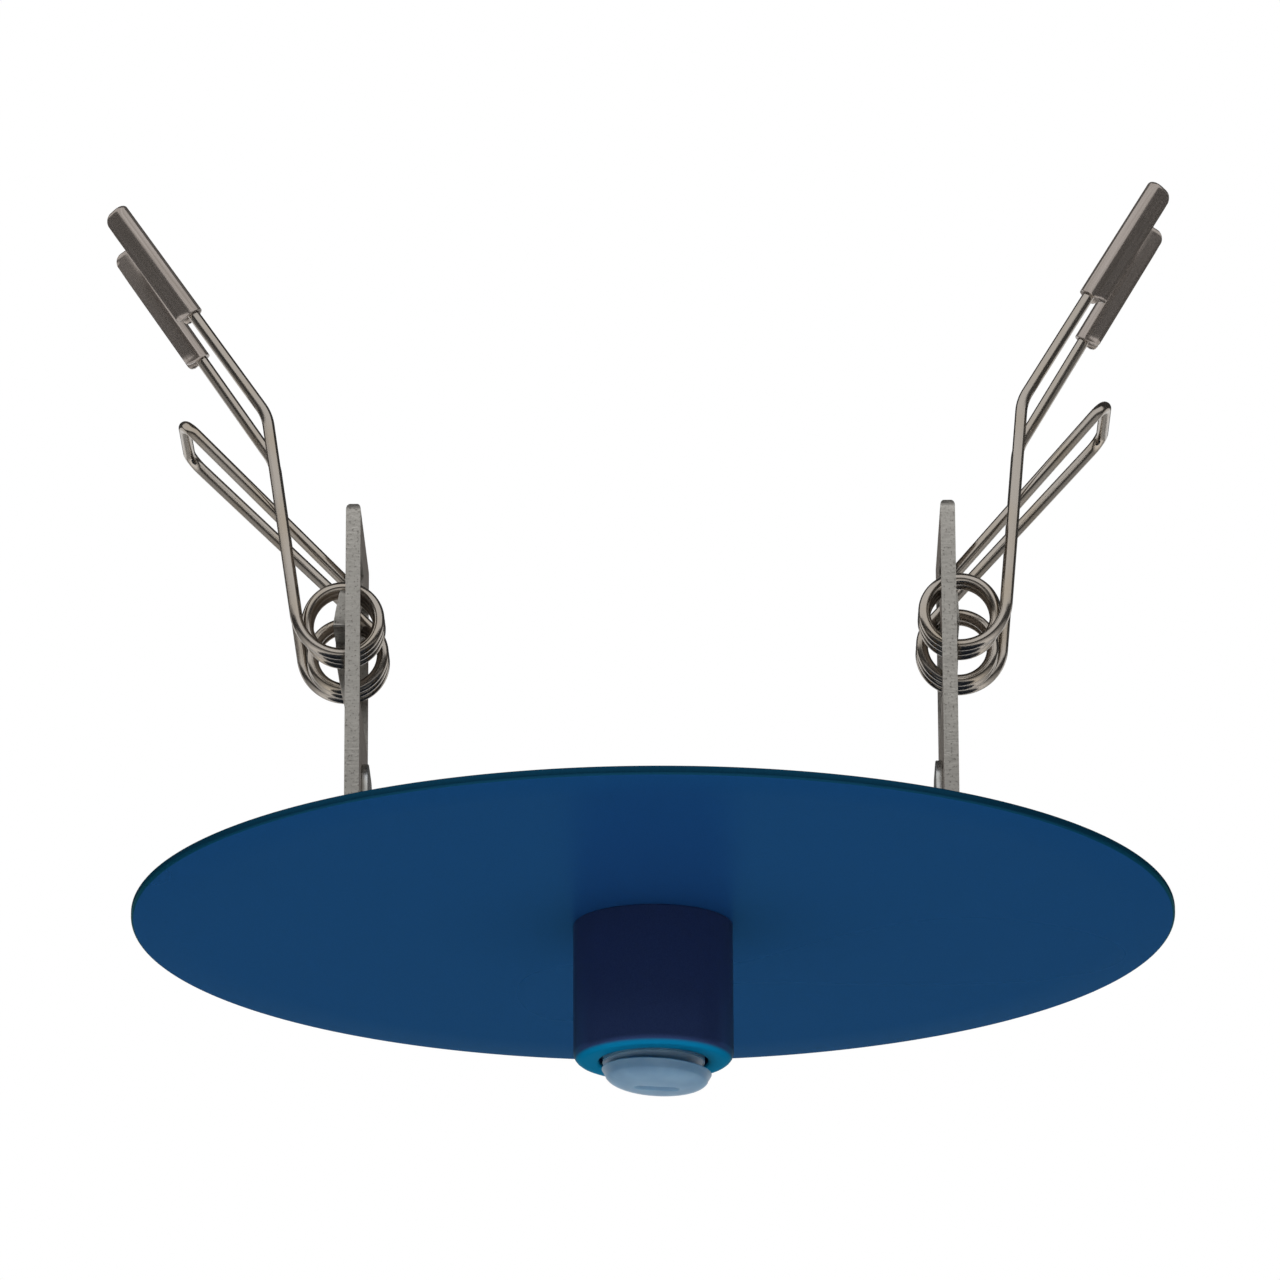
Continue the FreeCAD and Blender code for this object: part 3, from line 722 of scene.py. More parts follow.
@dataclass
class Shape:
    """A mesh while it is made, in millimetres.

    Attributes:
        points: the corners.
        faces: each face's corners by number.
        places: where each corner lay on the flat sheet or the straight wire.
    """

    points: list[Vector] = field(default_factory=list)
    faces: list[tuple[int, ...]] = field(default_factory=list)
    places: list[Vector] = field(default_factory=list)

    def grid(self, rows: Sequence[Sequence[Vector]], closed_round: bool = False,
             closed_along: bool = False) -> "Shape":
        """Adds a sheet of quads.

        Args:
            rows: rows of points, each as long as the others.
            closed_round: whether each row's last point joins its first.
            closed_along: whether the last row joins the first.

        Returns:
            The shape itself.
        """
        base, width = len(self.points), len(rows[0])
        travelled = 0.0
        for number, row in enumerate(rows):
            if number:
                travelled += (row[0] - rows[number - 1][0]).length
            gone = 0.0
            for column, point in enumerate(row):
                if column:
                    gone += (point - row[column - 1]).length
                self.points.append(point)
                self.places.append(Vector((gone, travelled, 0)))
        for number in range(len(rows) if closed_along else len(rows) - 1):
            for column in range(width if closed_round else width - 1):
                here, there = number * width, (number + 1) % len(rows) * width
                after = (column + 1) % width
                self.faces.append((base + here + column, base + here + after, base + there + after,
                                   base + there + column))
        return self

    def cap(self, row: Sequence[int]) -> "Shape":
        """Closes an end with one face over points given by number."""
        self.faces.append(tuple(row))
        return self

    def merged(self, other: "Shape") -> "Shape":
        """Adds another shape's points and faces.

        Args:
            other: the other shape.

        Returns:
            The shape itself.
        """
        base = len(self.points)
        self.points += other.points
        self.places += other.places
        self.faces += [tuple(base + corner for corner in face) for face in other.faces]
        return self

    def moved(self, matrix: Matrix) -> "Shape":
        """The shape in another place."""
        return Shape([matrix @ point for point in self.points], list(self.faces), list(self.places))


@dataclass
class Trim:
    """What is done to a sheet after its mesh is made.

    Attributes:
        thickness: the sheet's thickness, in millimetres; 0 for a closed mesh.
        offset: which side the thickness goes to, from -1 to 1.
        bevel: how far sharp edges are rounded, in millimetres.
        sharp: the angle above which an edge stays crisp, in degrees.
    """

    thickness: float = 0.0
    offset: float = -1.0
    bevel: float = 0.0
    sharp: float = 32.0


def make_piece(name: str, shape: Shape, finishes: Sequence[Finish], body: str | None,
               nodes: Iterable[str] = (), trim: Trim = Trim()) -> bpy.types.Object:
    """Makes a piece from a shape, dresses it and hangs it on its body.

    Args:
        name: the piece's name.
        shape: the mesh in millimetres.
        finishes: the face's finish, then the cut edge's if it has one of its own.
        body: the body that it rides on, or None for a piece that hangs on none.
        nodes: the CAD nodes that it stands for.
        trim: thickness and edge rounding.

    Returns:
        The piece.
    """
    mesh = bpy.data.meshes.new(name)
    mesh.from_pydata([tuple(point * MM) for point in shape.points], [], shape.faces)
    stock = mesh.attributes.new("stock_place", "FLOAT_VECTOR", "POINT")
    for record, place in zip(stock.data, shape.places):
        record.vector = place
    for finish in finishes:
        mesh.materials.append(finish.material())
    mesh.validate()
    if not trim.thickness:
        face_outward(mesh)
    piece = bpy.data.objects.new(name, mesh)
    bpy.context.scene.collection.objects.link(piece)
    if trim.thickness:
        solid = piece.modifiers.new("sheet", "SOLIDIFY")
        solid.thickness = trim.thickness * MM
        solid.offset = trim.offset
        solid.use_even_offset = True
        solid.material_offset_rim = len(finishes) - 1
    if trim.bevel:
        bevel = piece.modifiers.new("edges", "BEVEL")
        bevel.width = trim.bevel * MM
        bevel.segments = 3
        bevel.limit_method = "ANGLE"
        bevel.angle_limit = math.radians(50)
        bevel.use_clamp_overlap = True
    apply_modifiers(piece)
    piece.data.shade_smooth()
    piece.data.set_sharp_from_angle(angle=math.radians(trim.sharp))
    if body is not None:
        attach(piece, body)
    if nodes:
        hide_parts(*nodes)
    LOG.info("%s: %d points, %d faces", name, len(piece.data.vertices), len(piece.data.polygons))
    return piece


def face_outward(mesh: bpy.types.Mesh) -> None:
    """Turns a closed mesh's faces so that all of them face outward.

    Args:
        mesh: the mesh.
    """
    work = bmesh.new()
    work.from_mesh(mesh)
    bmesh.ops.recalc_face_normals(work, faces=work.faces)
    work.to_mesh(mesh)
    work.free()


def apply_modifiers(piece: bpy.types.Object) -> None:
    """Replaces a piece's mesh by what its modifiers make of it.

    Args:
        piece: the piece, which has no modifiers afterwards.
    """
    if not piece.modifiers:
        return
    view = bpy.context.evaluated_depsgraph_get()
    made = bpy.data.meshes.new_from_object(piece.evaluated_get(view))
    old = piece.data
    piece.modifiers.clear()
    piece.data = made
    bpy.data.meshes.remove(old)
    made.name = piece.name


def turned(outline: Callable[[float], Sequence[tuple[float, float]]], sides: int) -> Shape:
    """Turns an outline about Z; the outline may change with the angle.

    Args:
        outline: gives (radius, height) points for an angle in radians.
        sides: how many steps a full turn has.

    Returns:
        The shape, with faces outward for an outline that runs up its outer side.
    """
    angles = [TURN * step / sides for step in range(sides)]
    rows = [[polar(radius, angle, height) for radius, height in outline(angle)]
            for angle in angles]
    return Shape().grid(rows, closed_round=True, closed_along=True)


def swept(path: Sequence[Vector], radius: float, sides: int = 28) -> Shape:
    """A round wire along a path, with flat ends.

    Args:
        path: the centre line.
        radius: the wire's radius.
        sides: how many sides the wire has.

    Returns:
        The shape.
    """
    ways = [(path[min(number + 1, len(path) - 1)] - path[max(number - 1, 0)]).normalized()
            for number in range(len(path))]
    across = ways[0].orthogonal().normalized()
    rows, places, travelled = [], [], 0.0
    turns = [(math.cos(TURN * side / sides), math.sin(TURN * side / sides))
             for side in range(sides)]
    for number, (centre, way) in enumerate(zip(path, ways)):
        across = (across - way * across.dot(way)).normalized()
        aside = way.cross(across)
        rows.append([centre + (across * cosine + aside * sine) * radius for cosine, sine in turns])
        travelled += (centre - path[max(number - 1, 0)]).length
        places += [Vector((radius * cosine, travelled, radius * sine)) for cosine, sine in turns]
    shape = Shape().grid(rows, closed_round=True)
    shape.places = places
    last = (len(path) - 1) * sides
    shape.cap(range(sides - 1, -1, -1))
    return shape.cap(range(last, last + sides))


def threaded(radius: float, pitch: float, low: float, high: float, bore: float,
             sides: int) -> Shape:
    """An upright rod or tube with a thread outside.

    Args:
        radius: the crest's radius.
        pitch: the thread's pitch.
        low: the lower end's height.
        high: the upper end's height.
        bore: the bore's radius, 0 for a solid rod.
        sides: how many sides a turn has.

    Returns:
        The shape.
    """
    depth, runout = 0.6 * pitch, pitch
    steps = math.ceil((high - low) / pitch * 6)
    heights = [low + (high - low) * step / steps for step in range(steps + 1)]

    def outline(angle: float) -> list[tuple[float, float]]:
        """The rod's outer line, then its bore or axis.

        Args:
            angle: where round the rod.

        Returns:
            Radii and heights.
        """
        line = []
        for height in heights:
            phase = (height / pitch - angle / TURN) % 1.0
            groove = depth * (1 - abs(2 * phase - 1)) ** 1.2
            ends = min(height - low, high - height)
            taper = max(0.0, runout - ends) * 0.5
            line.append((radius - max(groove, taper), height))
        return line + [(bore or AXIS, high), (bore or AXIS, low)]

    return turned(outline, sides)


def hexagon_nut(across: float, bore: float, low: float, thick: float, chamfer: float) -> Shape:
    """A hexagonal nut whose corners are turned down, which leaves an arc on each flat.

    Args:
        across: the width across flats.
        bore: the threaded hole's radius.
        low: the lower face's height.
        thick: the nut's thickness.
        chamfer: how far the turned corner reaches in from the hexagon's corners.

    Returns:
        The shape.
    """
    high = low + thick
    shoulder = across / math.sqrt(3) - chamfer
    relief = 0.35

    def outline(angle: float) -> list[tuple[float, float]]:
        """The nut's outline.

        Args:
            angle: where round the nut.

        Returns:
            Radii and heights.
        """
        flat = across / 2 / math.cos((angle + math.pi / 6) % (math.pi / 3) - math.pi / 6)
        drop = max(0.0, flat - shoulder) * math.tan(math.radians(30))
        return [(bore, low + relief), (bore + relief, low), (min(shoulder, flat - 0.02), low),
                (flat, low + drop), (flat, high - drop), (min(shoulder, flat - 0.02), high),
                (bore + relief, high), (bore, high - relief)]

    return turned(outline, 72)


def circle(x: float, y: float, radius: float, sides: int = 40) -> list[Vector]:
    """A flat circle as points."""
    return [Vector((x + radius * math.cos(TURN * side / sides),
                    y + radius * math.sin(TURN * side / sides), 0)) for side in range(sides)]


def rectangle(left: float, low: float, right: float, high: float, corner: float) -> list[Vector]:
    """A flat rectangle with rounded corners, from the middle of its lower side on.

    Args:
        left: its left side.
        low: its lower side.
        right: its right side.
        high: its upper side.
        corner: the corners' radius.

    Returns:
        Its points.
    """
    middle = Vector(((left + right) / 2, low, 0))
    corners = [Vector((right, low, 0)), Vector((right, high, 0)), Vector((left, high, 0)),
               Vector((left, low, 0))]
    return round_corners([middle, *corners, middle], [0, *[corner] * 4, 0], 8)[:-1]


def cut_sheet(outline: Sequence[Vector], holes: Iterable[Sequence[Vector]],
              lines: Iterable[tuple[int, float]], form: Callable[[Vector], Vector]) -> Shape:
    """Cuts a flat sheet with holes and forms it.

    Args:
        outline: the blank's outline.
        holes: the outlines of its holes.
        lines: lines to bend along: 0 or 1 for across X or Y, and where.
        form: where a point of the flat sheet comes to lie.

    Returns:
        The formed sheet, which has no thickness yet.
    """
    flat = bmesh.new()
    edges = []
    for ring in (outline, *holes):
        corners = [flat.verts.new(point) for point in ring]
        edges += [flat.edges.new((corners[number - 1], corner))
                  for number, corner in enumerate(corners)]
    bmesh.ops.triangle_fill(flat, use_beauty=True, edges=edges, normal=(0, 0, 1))
    for axis, where in lines:
        way = Vector((axis == 0, axis == 1, 0))
        everything = flat.verts[:] + flat.edges[:] + flat.faces[:]
        bmesh.ops.bisect_plane(flat, geom=everything, dist=1e-5, plane_co=way * where,
                               plane_no=way)
    flat.verts.index_update()
    shape = Shape([form(corner.co) for corner in flat.verts],
                  [tuple(corner.index for corner in face.verts) for face in flat.faces],
                  [corner.co.copy() for corner in flat.verts])
    flat.free()
    return shape


# ---------------------------------------------------------------- plate, hub and plug

@dataclass
class CoverPlate:
    """The round lacquered plate that covers the ceiling's hole.

    Attributes:
        rim_round: the rounding of its lower edge.
        hole_radius: the radius of its hole for the hollow stud.
    """

    rim_round: float = 0.36
    hole_radius: float = 5.2

    def build(self) -> None:
        """Makes the plate with a softly rounded rim."""
        low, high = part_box("cover_plate")
        radius, under, back = high.x / MM, low.z / MM, high.z / MM
        line = profile((self.hole_radius, under, 0), (radius, under, self.rim_round),
                       (radius, back, 0.2), (self.hole_radius, back, 0))
        rings = [(radius * share / 8, under) for share in range(1, 8)]
        outline = [line[0], *[ring for ring in rings if ring[0] > self.hole_radius], *line[1:]]
        shape = turned(lambda angle: outline, 360)
        plate = make_piece("cover_plate_lacquered", shape,
                           [PLATE_LACQUER, RIM_PAINTED_SHADE_LACQUER, PLATE_BACK_PRIMER_AND_SHADE], "root", ["cover_plate"])
        # the rim's wall and rounded lower edge get a darker copy of the lacquer, painted shade, and
        # the back gets the primer
        for face in plate.data.polygons:
            face.material_index = 2 if face.normal.z > 0.9 else int(face.normal.z > -0.99)


@dataclass
class OutletHub:
    """The turned hub under the plate, with its threaded mouth and the plug in it.

    Attributes:
        mouth_radius: the mouth's radius at the bottom of its thread.
        mouth_depth: how deep the mouth is.
        bore_radius: the radius of the bore for the hollow stud.
        end_round: the rounding of the hub's outer lower corner.
        lip_round: the rounding of the mouth's edge.
        thread_pitch: the pitch of the mouth's thread.
        thread_depth: its depth.
        shank_play: the room round the plug's shank.
        neck_radius: the radius of the plug's neck before its taper.
        neck_length: the neck's length.
        neck_taper: how much wider it is at the hub; at the rim it is half that narrower.
        rim_thick: the thickness of the plug's rim.
        rim_slope: how far the rim drops with each millimetre to the right.
        rim_shift: how far it lies to the right.
        dome_inset: how far the dome's edge lies in from the rim's.
        dome_edge: how far below the rim the dome begins.
        dome_room: the room that the dome leaves for the rim's slope.
        slot_length: the screwdriver slot's length.
        slot_width: its width.
        slot_depth: its depth.
        slot_wall: how far its front side slopes.
        slot_draft: how far its back side slopes.
    """

    mouth_radius: float = 6.25
    mouth_depth: float = 8.6
    bore_radius: float = 5.05
    end_round: float = 1.2
    lip_round: float = 0.35
    thread_pitch: float = 1.0
    thread_depth: float = 0.35
    shank_play: float = 0.4
    neck_radius: float = 5.3
    neck_length: float = 1.0
    neck_taper: float = 0.4
    rim_thick: float = 0.6
    rim_slope: float = 0.0594378
    rim_shift: float = 0.35
    dome_inset: float = 0.35
    dome_edge: float = 0.12
    dome_room: float = 0.14
    slot_length: float = 5.2
    slot_width: float = 1.7
    slot_depth: float = 0.8
    slot_wall: float = 0.12
    slot_draft: float = 0.75

    def build(self) -> None:
        """Makes the hub tube and the plug."""
        low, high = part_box("hub_tube")
        self.build_tube(high.x / MM, low.z / MM, high.z / MM)
        self.build_plug(low.z / MM)

    def build_tube(self, radius: float, end: float, top: float) -> None:
        """Makes the hub.

        Args:
            radius: its outer radius.
            end: the height of its lower end.
            top: the height of its seat on the plate.
        """
        outside = profile((self.mouth_radius, end + 1.0, 0), (self.mouth_radius, end, self.lip_round),
                          (radius, end, self.end_round), (radius, top, 0.12),
                          (self.bore_radius, top, 0))
        roof, step = end + self.mouth_depth, self.thread_pitch / 6
        chords = int(self.mouth_depth / self.thread_pitch * 6) - 6

        def outline(angle: float) -> list[tuple[float, float]]:
            """The hub's outline, with the thread inside the mouth.

            Args:
                angle: where round the hub.

            Returns:
                Radii and heights.
            """
            line = [*outside, (self.bore_radius, roof), (self.mouth_radius - 0.1, roof)]
            for number in range(chords):
                height = roof - (number + 1) * step
                phase = (height / self.thread_pitch - angle / TURN) % 1.0
                line.append((self.mouth_radius - self.thread_depth * (1 - abs(2 * phase - 1)),
                             height))
            return line

        make_piece("hub_tube_lacquered", turned(outline, 144), [HUB_LACQUER], "root", ["hub_tube"])

    def build_plug(self, hub_end: float) -> None:
        """Makes the plug: shank, neck, a rim that sits a little askew, and a slotted dome.

        Args:
            hub_end: the height of the hub's lower end.
        """
        low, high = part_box("slotted_plug")
        rim, top, bottom = high.x / MM, high.z / MM, low.z / MM
        rim_top = hub_end - self.neck_length
        rim_low = rim_top - self.rim_thick
        shank = self.mouth_radius - self.shank_play
        body = profile((AXIS, top, 0), (shank, top, 0.3), (shank, hub_end, 0),
                       (self.neck_radius + self.neck_taper, hub_end, 0),
                       (self.neck_radius - self.neck_taper / 2, rim_top, 0.15),
                       (rim, rim_top, 0.12), (rim, rim_low - 0.1, 0.5))
        body.pop()
        # the dome is nearly flat in its middle, and leaves room below for the rim's slope
        edge = rim_low - self.dome_edge
        height = edge - bottom - self.dome_room
        for step in range(61):
            share = 1 - step / 60
            body.append((max(AXIS, (rim - self.dome_inset) * share),
                         edge - height * (1 - share ** 4) ** 0.6))
        shape = turned(lambda angle: body, 192)
        for point in shape.points:
            self.cut_slot(point, bottom)
            if point.z <= rim_top:
                point.z -= self.rim_slope * point.x
                point.x += self.rim_shift
        make_piece("slotted_plug_moulded", shape, [NYLON], "plug", ["slotted_plug"])

    def cut_slot(self, point: Vector, bottom: float) -> None:
        """Moves a point of the dome up where it lies in the screwdriver slot.

        The slot has round ends, a steep side in front and a sloped one behind.

        Args:
            point: the point.
            bottom: the plug's lowest height.
        """
        if point.z > bottom + 1.0:
            return
        beyond = max(0.0, abs(point.x) - (self.slot_length - self.slot_width) / 2)
        off = math.hypot(beyond, point.y) - self.slot_width / 2
        wall = self.slot_wall if point.y < 0 else self.slot_draft
        point.z += self.slot_depth * min(1.0, max(0.0, -off / wall))


# ---------------------------------------------------------------- hub fixing, strap and studs

@dataclass
class HubFixing:
    """The hollow threaded stud through the hub, its split lock washer and its nut.

    Attributes:
        nut_across: the nut's width across flats.
        nut_chamfer: how far its turned corners reach in.
        thread_pitch: the stud's pitch.
        nipple_wall: the stud's wall from crest to bore.
        nut_play: the room round the stud in the nut.
        washer_play: the room round it in the washer.
        washer_split: the width of the washer's split.
        washer_spring: how far the washer's ends stand apart in height.
    """

    nut_across: float = 14.0
    nut_chamfer: float = 0.6
    thread_pitch: float = 1.0
    nipple_wall: float = 1.0
    nut_play: float = 0.05
    washer_play: float = 0.15
    washer_split: float = 0.8
    washer_spring: float = 0.12

    def build(self) -> None:
        """Makes stud, washer and nut."""
        low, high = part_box("hub_nipple")
        radius = high.x / MM
        tube = threaded(radius, self.thread_pitch, low.z / MM, high.z / MM,
                        radius - self.nipple_wall, 96)
        make_piece("hub_nipple_threaded", tube, [BRASS], "root", ["hub_nipple"], Trim(sharp=24.0))
        self.build_washer(radius + self.washer_play)
        low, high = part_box("hub_nut")
        nut = hexagon_nut(self.nut_across, radius + self.nut_play, low.z / MM,
                          (high.z - low.z) / MM, self.nut_chamfer)
        make_piece("hub_nut_plated", nut, [ZINC], "root", ["hub_nut"], Trim(sharp=20.0))

    def build_washer(self, bore: float) -> None:
        """Makes the lock washer, split on its right and sprung a little there.

        Args:
            bore: its hole's radius.
        """
        low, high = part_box("hub_lock_washer")
        outer, bottom, top = high.y / MM, low.z / MM, high.z / MM
        gap, steps, rows = self.washer_split / 2 / outer, 120, []
        for step in range(steps + 1):
            angle = gap + (TURN - 2 * gap) * step / steps
            lift = top - self.washer_spring * (1 - step / steps)
            rows.append([polar(bore, angle, bottom), polar(outer, angle, bottom),
                         polar(outer, angle, lift), polar(bore, angle, lift)])
        shape = Shape().grid(rows, closed_round=True).cap((3, 2, 1, 0))
        shape.cap(range(4 * steps, 4 * steps + 4))
        make_piece("hub_lock_washer_split", shape, [ZINC], "root", ["hub_lock_washer"],
                   Trim(bevel=0.12))


@dataclass
class MountingStrap:
    """The strip across the plate's back, turned up at both ends against the brackets.

    Attributes:
        thick: the strip's thickness.
        bend: the bends' inner radius.
        corner: the radius of its corners.
        stud_hole: the radius of the welded studs' holes.
        hub_hole: the radius of the hollow stud's hole.
        stud_offset: how far the welded studs stand from the middle.
        rivet_hole: the radius of the rivets' holes.
        rivet_height: the rivets' height.
        rivet_spread: how far apart they are.
    """

    thick: float = 0.8
    bend: float = 1.2
    corner: float = 3.5
    stud_hole: float = 2.15
    hub_hole: float = 5.15
    stud_offset: float = 21.0
    rivet_hole: float = 1.5
    rivet_height: float = 9.5
    rivet_spread: float = 6.4

    def build(self) -> None:
        """Cuts the flat strip with its holes and folds its ends up."""
        low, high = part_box("mounting_strap")
        self.reach, half, self.top = high.x / MM, high.y / MM, high.z / MM
        self.start = self.reach - self.thick - self.bend
        self.arc = math.pi / 2 * (self.bend + self.thick)
        length = self.start + self.arc + self.top - self.thick - self.bend
        outline = rectangle(-length, -half, length, half, self.corner)
        rivet_at = self.start + self.arc + self.rivet_height - self.thick - self.bend
        holes = [circle(0, 0, self.hub_hole)]
        for way in (-1, 1):
            holes.append(circle(way * self.stud_offset, 0, self.stud_hole))
            holes += [circle(way * rivet_at, spread * self.rivet_spread / 2, self.rivet_hole)
                      for spread in (-1, 1)]
        cuts = [(0, way * (self.start + self.arc * step / 8)) for way in (-1, 1)
                for step in range(9)]
        shape = cut_sheet(outline, holes, cuts, self.fold)
        make_piece("mounting_strap_folded", shape, [ZINC], "root", ["mounting_strap"],
                   Trim(self.thick, offset=1.0, bevel=0.15, sharp=14.0))

    def fold(self, flat: Vector) -> Vector:
        """Where a point of the flat strip's underside comes to lie.

        Args:
            flat: the point before the ends are turned up.

        Returns:
            Its place.
        """
        way, run = math.copysign(1, flat.x), abs(flat.x)
        radius = self.bend + self.thick
        if run <= self.start:
            return Vector((flat.x, flat.y, 0))
        if run <= self.start + self.arc:
            angle = (run - self.start) / radius
            return Vector((way * (self.start + radius * math.sin(angle)), flat.y,
                           radius * (1 - math.cos(angle))))
        return Vector((way * self.reach, flat.y, radius + run - self.start - self.arc))


@dataclass
class StudFixings:
    """Two studs welded to the plate's back, with washers and nuts.

    Attributes:
        offset: how far they stand from the middle.
        thread_pitch: the studs' pitch.
        nut_across: the nuts' width across flats.
        nut_chamfer: how far their turned corners reach in.
        nut_play: the room round a stud in its nut.
        washer_play: the room round it in its washer.
    """

    offset: float = 21.0
    thread_pitch: float = 0.7
    nut_across: float = 7.0
    nut_chamfer: float = 0.45
    nut_play: float = 0.05
    washer_play: float = 0.15

    def build(self) -> None:
        """Makes each kind as one piece, a part on either side."""
        stud_low, stud_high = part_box("weld_studs")
        washer_low, washer_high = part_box("stud_washers")
        nut_low, nut_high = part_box("stud_nuts")
        radius = stud_high.y / MM
        stud = threaded(radius, self.thread_pitch, stud_low.z / MM, stud_high.z / MM, 0.0, 48)
        hole, edge = radius + self.washer_play, washer_high.y / MM
        line = profile((hole, washer_low.z / MM, 0), (edge, washer_low.z / MM, 0.2),
                       (edge, washer_high.z / MM, 0.3), (hole, washer_high.z / MM, 0))
        washer = turned(lambda angle: line, 72)
        nut = hexagon_nut(self.nut_across, radius + self.nut_play, nut_low.z / MM,
                          (nut_high.z - nut_low.z) / MM, self.nut_chamfer)
        self.pair("weld_studs_threaded", stud, "weld_studs", 24.0)
        self.pair("stud_washers_punched", washer, "stud_washers", 30.0)
        self.pair("stud_nuts_plated", nut, "stud_nuts", 20.0)

    def pair(self, name: str, shape: Shape, node: str, sharp: float) -> None:
        """Makes one piece with the shape on either side.

        Args:
            name: the piece's name.
            shape: one part, on the axis.
            node: the CAD node that it stands for.
            sharp: the angle above which an edge stays crisp, in degrees.
        """
        both = Shape()
        for way in (-1, 1):
            both.merged(shape.moved(Matrix.Translation((way * self.offset, 0, 0))))
        make_piece(name, both, [ZINC], "root", [node], Trim(sharp=sharp))


# ---------------------------------------------------------------- brackets

@dataclass
class SpringBracket:
    """A bracket: a stamped plate with two windows, a raised strip and a horn each way.

    Attributes:
        side: the bracket's side.
        inner: how far its inner face stands from the middle.
        thick: the sheet's thickness.
        width: the plate's width.
        foot: the height of its lower edge.
        corner: the radius of its corners.
        rail: the width of the rails outside the windows.
        window_low: the height of the windows' lower edges.
        window_high: the height of their upper edges.
        window_corner: the radius of their outer corners.
        strip: the width of the strip between the windows.
        rise: the height over which the strip comes out of the plate.
        horn_reach: how far the horns reach from the strip's middle.
        horn_low: the height of their lower edges.
        horn_round: the radius of the corners of their ends.
        top_round: how far the upper edge is rounded across the sheet.
        top_run: the height over which it is rounded.
        rivet_hole: the radius of the rivets' shanks.
        rivet_head: the radius of their heads.
        rivet_high: how high a head stands.
        rivet_height: the rivets' height.
        rivet_spread: how far apart they are.
        strap_thick: the thickness of the strap between bracket and inner heads.
    """

    side: Side
    inner: float = 33.45
    thick: float = 1.7
    width: float = 24.0
    foot: float = 2.3
    corner: float = 1.6
    rail: float = 1.2
    window_low: float = 23.0
    window_high: float = 40.79
    window_corner: float = 0.5
    strip: float = 4.6
    rise: float = 8.0
    horn_reach: float = 9.0
    horn_low: float = 32.5
    horn_round: float = 0.7
    top_round: float = 0.75
    top_run: float = 1.1
    rivet_hole: float = 1.5
    rivet_head: float = 2.7
    rivet_high: float = 0.7
    rivet_height: float = 9.5
    rivet_spread: float = 6.4
    strap_thick: float = 0.8

    @property
    def bulge(self) -> float:
        """How far the strip stands out; the left bracket's was pressed further."""
        return 1.5 if self.side is Side.LEFT else 0.4

    @property
    def horn_high(self) -> float:
        """The horns' upper edge."""
        return 36.84 if self.side is Side.LEFT else 36.446

    def build(self) -> None:
        """Makes the bracket and its rivets."""
        half = self.width / 2
        _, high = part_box(self.side.value + "_bracket")
        outline = rectangle(-half, self.foot, half, high.z / MM, self.corner)
        holes = [self.window(-1), self.window(1)]
        holes += [circle(spread * self.rivet_spread / 2, self.rivet_height, self.rivet_hole)
                  for spread in (-1, 1)]
        cuts = [(1, edge + way * self.rise * step / 8) for edge, way in
                ((self.window_low, 1), (self.window_high, -1)) for step in range(10)]
        cuts += [(1, high.z / MM - self.top_run * step / 8) for step in range(1, 9)]
        shape = cut_sheet(outline, holes, cuts, self.press).moved(self.side.half_turn)
        piece = make_piece(self.side.value + "_bracket_stamped", shape,
                           [BRACKET_FACE, BRACKET_EDGE], "root", [self.side.value + "_bracket"],
                           Trim(self.thick, bevel=0.28, sharp=14.0))
        self.round_top(piece, high.z / MM)
        self.build_rivets()

    def round_top(self, piece: bpy.types.Object, top: float) -> None:
        """Rounds the upper edge across the sheet, as the shear's blade left it.

        Args:
            piece: the bracket, already thick.
            top: the upper edge's height.
        """
        middle = self.inner + self.thick / 2
        for corner in piece.data.vertices:
            beyond = (corner.co.z / MM - top) / self.top_run + 1
            if beyond <= 0:
                continue
            limit = self.thick / 2 - self.top_round * (1 - math.sqrt(max(0.0, 1 - beyond ** 2)))
            off = abs(corner.co.x) / MM - middle
            off = max(-limit, min(limit, off))
            corner.co.x = math.copysign((middle + off) * MM, corner.co.x)

    def window(self, way: int) -> list[Vector]:
        """The outline of one window, which runs round the horn that reaches into it.

        Args:
            way: -1 or 1, for the side of the strip that it is on.

        Returns:
            Its points.
        """
        near, far = self.strip / 2, self.width / 2 - self.rail
        points = [(near, self.window_low, 0.5), (far, self.window_low, self.window_corner),
                  (far, self.window_high, self.window_corner), (near, self.window_high, 0.5),
                  (near, self.horn_high, 0.3), (self.horn_reach, self.horn_high, self.horn_round),
                  (self.horn_reach, self.horn_low, self.horn_round), (near, self.horn_low, 0.5)]
        corners = [Vector((way * across, up, 0)) for across, up, _ in points]
        ring = [corners[0].lerp(corners[-1], 0.5), *corners, corners[0].lerp(corners[-1], 0.5)]
        radii = [0.0, *[rounding for _, _, rounding in points], 0.0]
        return round_corners(ring, radii, 5)[:-1]

    def press(self, flat: Vector) -> Vector:
        """Where a point of the blank's inner face comes to lie.

        Args:
            flat: the point before the strip is pressed out.

        Returns:
            Its place on the right side.
        """
        share = min(flat.y - self.window_low, self.window_high - flat.y) / self.rise
        lift = 0.0
        if abs(flat.x) < self.horn_reach + 0.2:
            share = min(1.0, max(0.0, share))
            # a straight slope, a little softened at both ends
            lift = self.bulge * (0.25 * share * share * (3 - 2 * share) + 0.75 * share)
        return Vector((self.inner + lift, -flat.x, flat.y))

